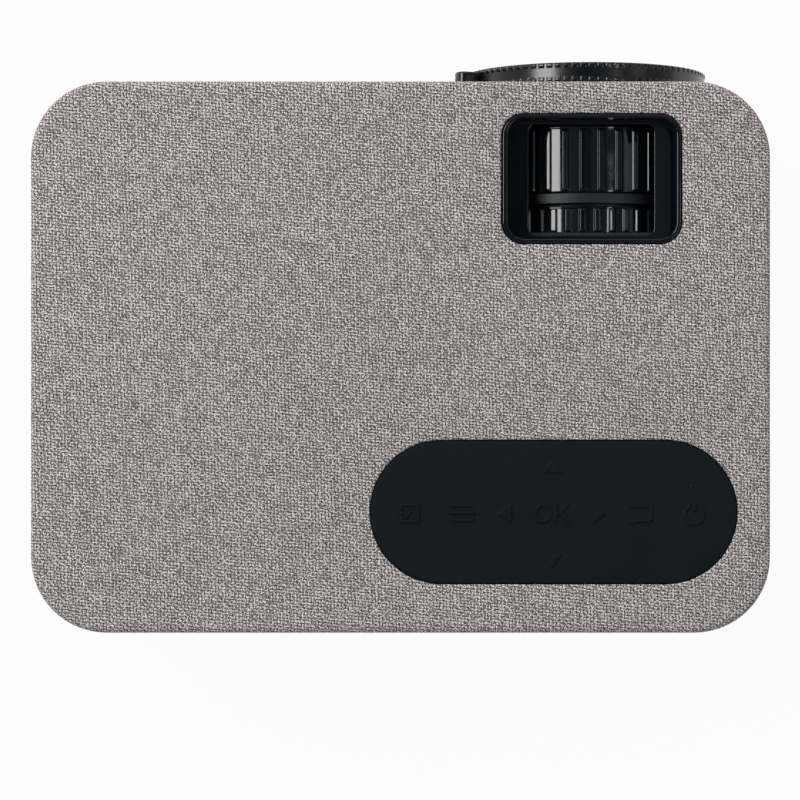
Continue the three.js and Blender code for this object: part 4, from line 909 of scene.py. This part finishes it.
# %% Dressed CAD pieces
def dressed(node, material, slot, width):
    work = bmesh.new()
    work.from_mesh(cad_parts[node].data)
    bmesh.ops.remove_doubles(work, verts=work.verts, dist=2e-6)
    flat, sharp = math.radians(0.5), math.radians(35)
    bmesh.ops.dissolve_limit(work, angle_limit=flat, verts=work.verts, edges=work.edges)
    for face in work.faces:
        face.smooth = True
    mesh = bpy.data.meshes.new(node)
    work.to_mesh(mesh)
    work.free()
    rough = bpy.data.objects.new(node + "_rough", mesh)
    scene.collection.objects.link(rough)
    edges = rough.modifiers.new("edges", "BEVEL")
    edges.width, edges.segments, edges.limit_method, edges.angle_limit = width * mm, 2, "ANGLE", sharp
    rough.modifiers.new("level", "WEIGHTED_NORMAL").weight = 60
    piece = bpy.data.objects.new(node + "_dressed", evaluated_mesh(rough))
    scene.collection.objects.link(piece)
    clothe(piece, material, "base", node, slot=slot)


for node, width in [("lower_housing", 0.35), ("upper_housing", 0.35), ("front_panel", 0.35), ("rear_panel", 0.35),
                    ("exhaust_grille", 0.4), ("intake_grille", 0.4)]:
    dressed(node, housing, "housing", width)

# %% [markdown]
# ## Feet, front foot and screws
#
# Four rubber feet are glued into round pockets. The front foot is a knurled knob on a zinc-plated
# stud, and four cross-head screws hold the shells together. Between them sits a brass tripod thread.

# %% Rubber, steel and brass
rubber, tree = finish("nitrile rubber from a blasted mould", "#161616", 0.78, Specular_IOR_Level=0.3)
vary(tree, (1.6, 4.0), [(0.35, "#131313"), (0.8, "#242322")], relief=(0.08, 0.6))

zinc, tree = finish("zinc-plated steel, passivated", "#9a9c9f", 0.32, Metallic=1.0)
vary(tree, (0.9, 4.0), [(0.3, "#8d9194"), (0.75, "#aaa9a2")], shine=(0.22, 0.45))

brass, tree = finish("turned free-cutting brass", "#b6955a", 0.28, Metallic=1.0)
vary(tree, (0.7, 3.0), [(0.3, "#a5854c"), (0.7, "#bd9d63")])
marks = add(tree, "ShaderNodeTexWave", {"Vector": millimetres(tree, (0, 2.8 * mm, 0)), "Scale": 1.2},
            wave_type="RINGS", rings_direction="Z")
vary(tree, marks.outputs["Fac"], relief=(0.02, 0.5))
print(rubber.name, "|", zinc.name, "|", brass.name)

# %% Feet
for node in [f"rubber_foot_{number}" for number in range(1, 5)]:
    low, high, middle = extent(node)
    foot = turned(node + "_moulded", "Z", middle, [
        (low.z, 0.0), (low.z, 4.6, 0.2), (low.z + 0.4, 4.8, 0.1), (low.z + 0.4, 5.4, 0.1), (low.z, 5.6, 0.2),
        (low.z, 7.0, 0.7), (high.z, 7.0), (high.z, 0.0)], 72)
    clothe(foot, rubber, "base", node, slot="rubber")

# %% Front foot
low, high, middle = extent("foot_knob")
knob_radius = 8.6
knob = turned("foot_knob_knurled", "Z", middle, [
    (low.z, 0.0), (low.z, 8.2, 0.4), (low.z + 0.5, knob_radius, 0.2), (high.z - 0.3, knob_radius, 0.2),
    (high.z, 8.2), (high.z, 3.3), (low.z + 1.1, 3.3), (low.z + 1.1, 0.0)], 96)
knurl = rib_bar("knurl", "Z", middle[2], 1.1, 0.5, 0.38, 2.0, knob_radius, 4)
knob = ribbed(knob, rubber, 40, 0.0, knurl, knob_radius, "Z", middle)
clothe(knob, rubber, "foot_grip", "foot_knob", slot="rubber")

low, high, middle = extent("foot_stud")
thread = [(low.z, 0.0), (low.z, 2.6)]
for crest in range(int(high.z - low.z - 0.6)):
    thread += [(low.z + 0.3 + crest, 2.45), (low.z + 0.7 + crest, 2.98), (low.z + 0.9 + crest, 2.98)]
thread += [(high.z - 0.2, 2.5), (high.z, 2.3), (high.z, 0.0)]
stud = turned("foot_stud_threaded", "Z", middle, thread, 48, 25)
clothe(stud, zinc, "foot_screw", "foot_stud", slot="steel")

# %% [markdown]
# A screw head is a turned disc with a cross pressed into it. The cross is a hole in the head's top
# sheet, with its own floor a millimetre down.

# %% Screws
def cross_outline(middle, half, arm, z):
    corners = [(arm, half), (-arm, half), (-arm, arm), (-half, arm), (-half, -arm), (-arm, -arm), (-arm, -half),
               (arm, -half), (arm, -arm), (half, -arm), (half, arm), (arm, arm)]
    return [(middle[0] + x, middle[1] + y, z) for x, y in corners]


for node in [f"case_screw_{number}" for number in range(1, 5)]:
    low, high, middle = extent(node)
    outer = circles(middle, [(2.8, low.z + 1.0), (2.8, low.z + 0.5), (2.5, low.z + 0.12), (1.9, low.z)], 40)
    recess = [cross_outline(middle, 1.5, 0.36, low.z), cross_outline(middle, 1.1, 0.3, low.z + 1.0)]
    head = pierced("head", outer, [recess])
    profile = [(low.z + 1.0, 0.0), (low.z + 1.0, 2.8), (low.z + 2.0, 2.8, 0.2), (low.z + 2.0, 1.3)]
    for crest in range(9):
        profile += [(low.z + 2.6 + crest, 1.0), (low.z + 3.0 + crest, 1.3)]
    shank = turned("shank", "Z", middle, profile + [(high.z, 0.7), (high.z, 0.0)], 32, 25)
    screw = merged(node + "_cross_head", [head, shank])
    clothe(screw, zinc, "base", node, slot="steel")

# %% Tripod thread
low, high, middle = extent("tripod_insert")
pitch = 1.27  # 20 turns to the inch
inside = [(low.z, 5.0, 0.2), (high.z, 5.0, 0.2), (high.z, 3.4)]
for crest in range(int((high.z - low.z - 1.0) / pitch)):
    top = high.z - 0.5 - crest * pitch
    inside += [(top, 3.35), (top - 0.55, 3.1), (top - 0.7, 3.1)]
insert = turned("tripod_insert_threaded", "Z", middle, inside + [(low.z + 0.2, 3.4), (low.z, 3.7)], 48, 25)
clothe(insert, brass, "base", "tripod_insert", slot="brass")

# %% [markdown]
# ## Glass, barrel and remote window
#
# The two lenses are coated glass: clear, with a faint violet and green cast of the coating's reflection
# painted into the glass colour by facing angle. They are turned with smooth domes. The barrel is ribbed
# inside against stray light, and the remote control's window is dark acrylic that passes infrared only.

# %% Glass
glass, tree = finish("coated crown glass", "#f2f6ff", 0.02, Transmission_Weight=1.0, IOR=1.52, Coat_Weight=0.4,
                     Coat_Roughness=0.03)
# A painted reflection: the coating's violet and green cast is painted into the glass colour by facing angle.
lit_edge = add(tree, "ShaderNodeFresnel", {"IOR": 1.9})
painted_coating_reflection = add(tree, "ShaderNodeMix", {"Factor": lit_edge, 6: srgb("#e9f3ee"), 7: srgb("#b9a6e6")}, data_type="RGBA")
vary(tree, lit_edge.outputs[0], painted_coating_reflection.outputs[2])

filtered, tree = finish("infrared-passing acrylic", "#1b0709", 0.1, IOR=1.49, Coat_Weight=0.5)
vary(tree, (0.4, 2.0), [(0.3, "#160608"), (0.7, "#22090b")])
print(glass.name, "|", filtered.name)

# %% Lenses and barrel
def dome(low_y, edge_y, bulge, radius, steps=10):
    """Profile of a lens with a flat back at low_y and a dome that rises over edge_y."""
    rim = [(edge_y + bulge * (1 - (i / steps) ** 2), radius * i / steps) for i in range(steps + 1)]
    return [(low_y, 0.0), *rim, (low_y, radius)]


for node, edge, bulge, facing in [("front_lens", 3.0, 2.6, -1), ("rear_lens", 2.4, 1.8, 1)]:
    low, high = extent(node)[:2]
    back = high.y if facing < 0 else low.y
    lens_profile = dome(back, back + facing * edge, facing * bulge, (high.x - low.x) / 2)
    lens = turned(node + "_polished", "Y", lens_axis, lens_profile, 128)
    clothe(lens, glass, "barrel", node, slot="glass")

low, high = extent("lens_barrel")[:2]
pocket, wall_out = 19.0, (high.x - low.x) / 2
inner = pocket - 1.6
baffles = []
for groove in range(12):
    end = high.y - 7.2 - groove * 1.6
    baffles += [(end, inner), (end - 0.5, inner + 0.7), (end - 1.1, inner + 0.7)]
barrel = turned("lens_barrel_baffled", "Y", lens_axis, [
    (low.y, pocket + 0.3, 0.2), (low.y, wall_out, 0.4), (high.y, wall_out, 0.4), (high.y, pocket),
    (high.y - 6.3, pocket), (high.y - 6.3, inner), *baffles, (low.y + 6.5, inner), (low.y + 6.5, pocket)], 128)
clothe(barrel, housing, "barrel", "lens_barrel", slot="housing")
dressed("ir_window", filtered, "satin", 0.25)

# %% [markdown]
# ## Finishes inside
#
# What lies inside shows only through the slots and when the part is taken apart, so these solids
# keep their CAD shapes and get the finish of the real piece: extruded aluminium with its draw lines,
# green boards with copper traces under the mask, a silvered mirror, grooved acrylic, black PBT.

# %% Metal and mirror
aluminium, tree = finish("extruded aluminium, clear anodised", "#a7a9ab", 0.38, Metallic=1.0)
vary(tree, (2.0, 3.0), shine=(0.28, 0.5), relief=(0.03, 0.6), stretch=(1, 1, 0.04))

silver, tree = finish("front-silvered mirror glass", "#e8eaec", 0.02, Metallic=1.0)
vary(tree, (0.8, 5.0), shine=(0.02, 0.12, 0.55, 0.8))
print(aluminium.name, "|", silver.name)

# %% Boards and ribbon
mask, tree = finish("fibreglass board under green solder mask", "#1d5135", 0.3, Coat_Weight=0.3)
tracks = add(tree, "ShaderNodeTexBrick", {"Vector": millimetres(tree), "Scale": 0.2, "Mortar Size": 0.03,
             "Color1": srgb("#1b4c32"), "Color2": srgb("#1e5437"), "Mortar": srgb("#3d8056")})
vary(tree, tracks.outputs["Fac"], tracks.outputs["Color"], relief=(0.035, 1.0))

white_mask, tree = finish("metal-core board under white mask", "#e6e5df", 0.4)
die = [value * mm for value in extent("led_board")[2]]
from_die = add(tree, "ShaderNodeVectorMath", {0: millimetres(tree, die, (0.01, 1, 1))}, operation="LENGTH")
spread = formula(tree, from_die.outputs["Value"], ("MULTIPLY", 0.05))
vary(tree, spread.outputs[0], [(0.28, "#e3c341"), (0.31, "#e6e5df")])

flat_cable, tree = finish("polyester flat cable with tinned copper strips", "#d9d6cc", 0.35)
strips = add(tree, "ShaderNodeTexWave", {"Vector": millimetres(tree), "Scale": 0.25}, bands_direction="X")
vary(tree, strips.outputs["Fac"], [(0.45, "#d9d6cc"), (0.55, "#a9a79f")])
print(mask.name, "|", white_mask.name, "|", flat_cable.name)

# %% Optics and light guides
fresnel, tree = finish("clear acrylic with pressed lens grooves", "#f4f7f7", 0.05, Transmission_Weight=1.0, IOR=1.49)
groove_centre = (0.0, 3.75 * mm, lens_axis[1] * mm)
rings = add(tree, "ShaderNodeTexWave", {"Vector": millimetres(tree, groove_centre, (0.001, 1, 1)), "Scale": 0.4},
            wave_type="RINGS", rings_direction="X", wave_profile="SAW")
vary(tree, rings.outputs["Fac"], relief=(0.15, 0.7))

panel, tree = finish("liquid crystal panel under polariser", "#2c3138", 0.08, IOR=1.5, Coat_Weight=0.6)
cells = add(tree, "ShaderNodeTexBrick", {"Vector": millimetres(tree), "Scale": 0.8, "Mortar Size": 0.02,
            "Color1": srgb("#2a2f37"), "Color2": srgb("#31363d"), "Mortar": srgb("#14171b")}, offset=0.0)
vary(tree, cells.outputs["Fac"], cells.outputs["Color"])

guide, tree = finish("smoked acrylic light guide", "#171b1d", 0.5, Specular_IOR_Level=0.25)
vary(tree, (4.0, 2.0), shine=(0.25, 0.5))
print(fresnel.name, "|", panel.name, "|", guide.name)

# %% Fan, speaker and sockets
fan_plastic, tree = finish("glass-filled PBT", "#131415", 0.45, IOR=1.56)
vary(tree, (3.0, 3.0), [(0.35, "#101112"), (0.8, "#222426")], stretch=(1, 0.2, 1))

cone, tree = finish("pressed paper cone", "#1d1c1a", 0.9, Specular_IOR_Level=0.2)
vary(tree, (1.2, 6.0), [(0.3, "#171614"), (0.8, "#2a2926")])
print(fan_plastic.name, "|", cone.name)

# %% Sockets
for node, material, slot in [("hdmi_socket", zinc, "steel"), ("usb_socket", zinc, "steel"),
                             ("av_socket", fan_plastic, "housing"), ("dc_inlet", fan_plastic, "housing")]:
    dressed(node, material, slot, 0.15)

# %% Finishes on CAD nodes
inside_finishes = {
    "engine_case": fan_plastic, "engine_cover": fan_plastic, "lcd_frame": fan_plastic, "fan_frame": fan_plastic,
    "fan_rotor": fan_plastic, "folding_mirror": silver, "fresnel_output": fresnel, "fresnel_input": fresnel,
    "lcd_panel": panel, "condenser_lens": glass, "led_board": white_mask, "heatsink": aluminium,
    "main_board": mask, "keypad_board": mask, "keypad_ribbon": flat_cable, "speaker": cone,
    "indicator_light": guide,
}
for node, material in inside_finishes.items():
    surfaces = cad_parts[node].material_slots
    for surface in surfaces:
        surface.link, surface.material = "OBJECT", material
    print(node, "gets", material.name, "in", len(surfaces), "slots")
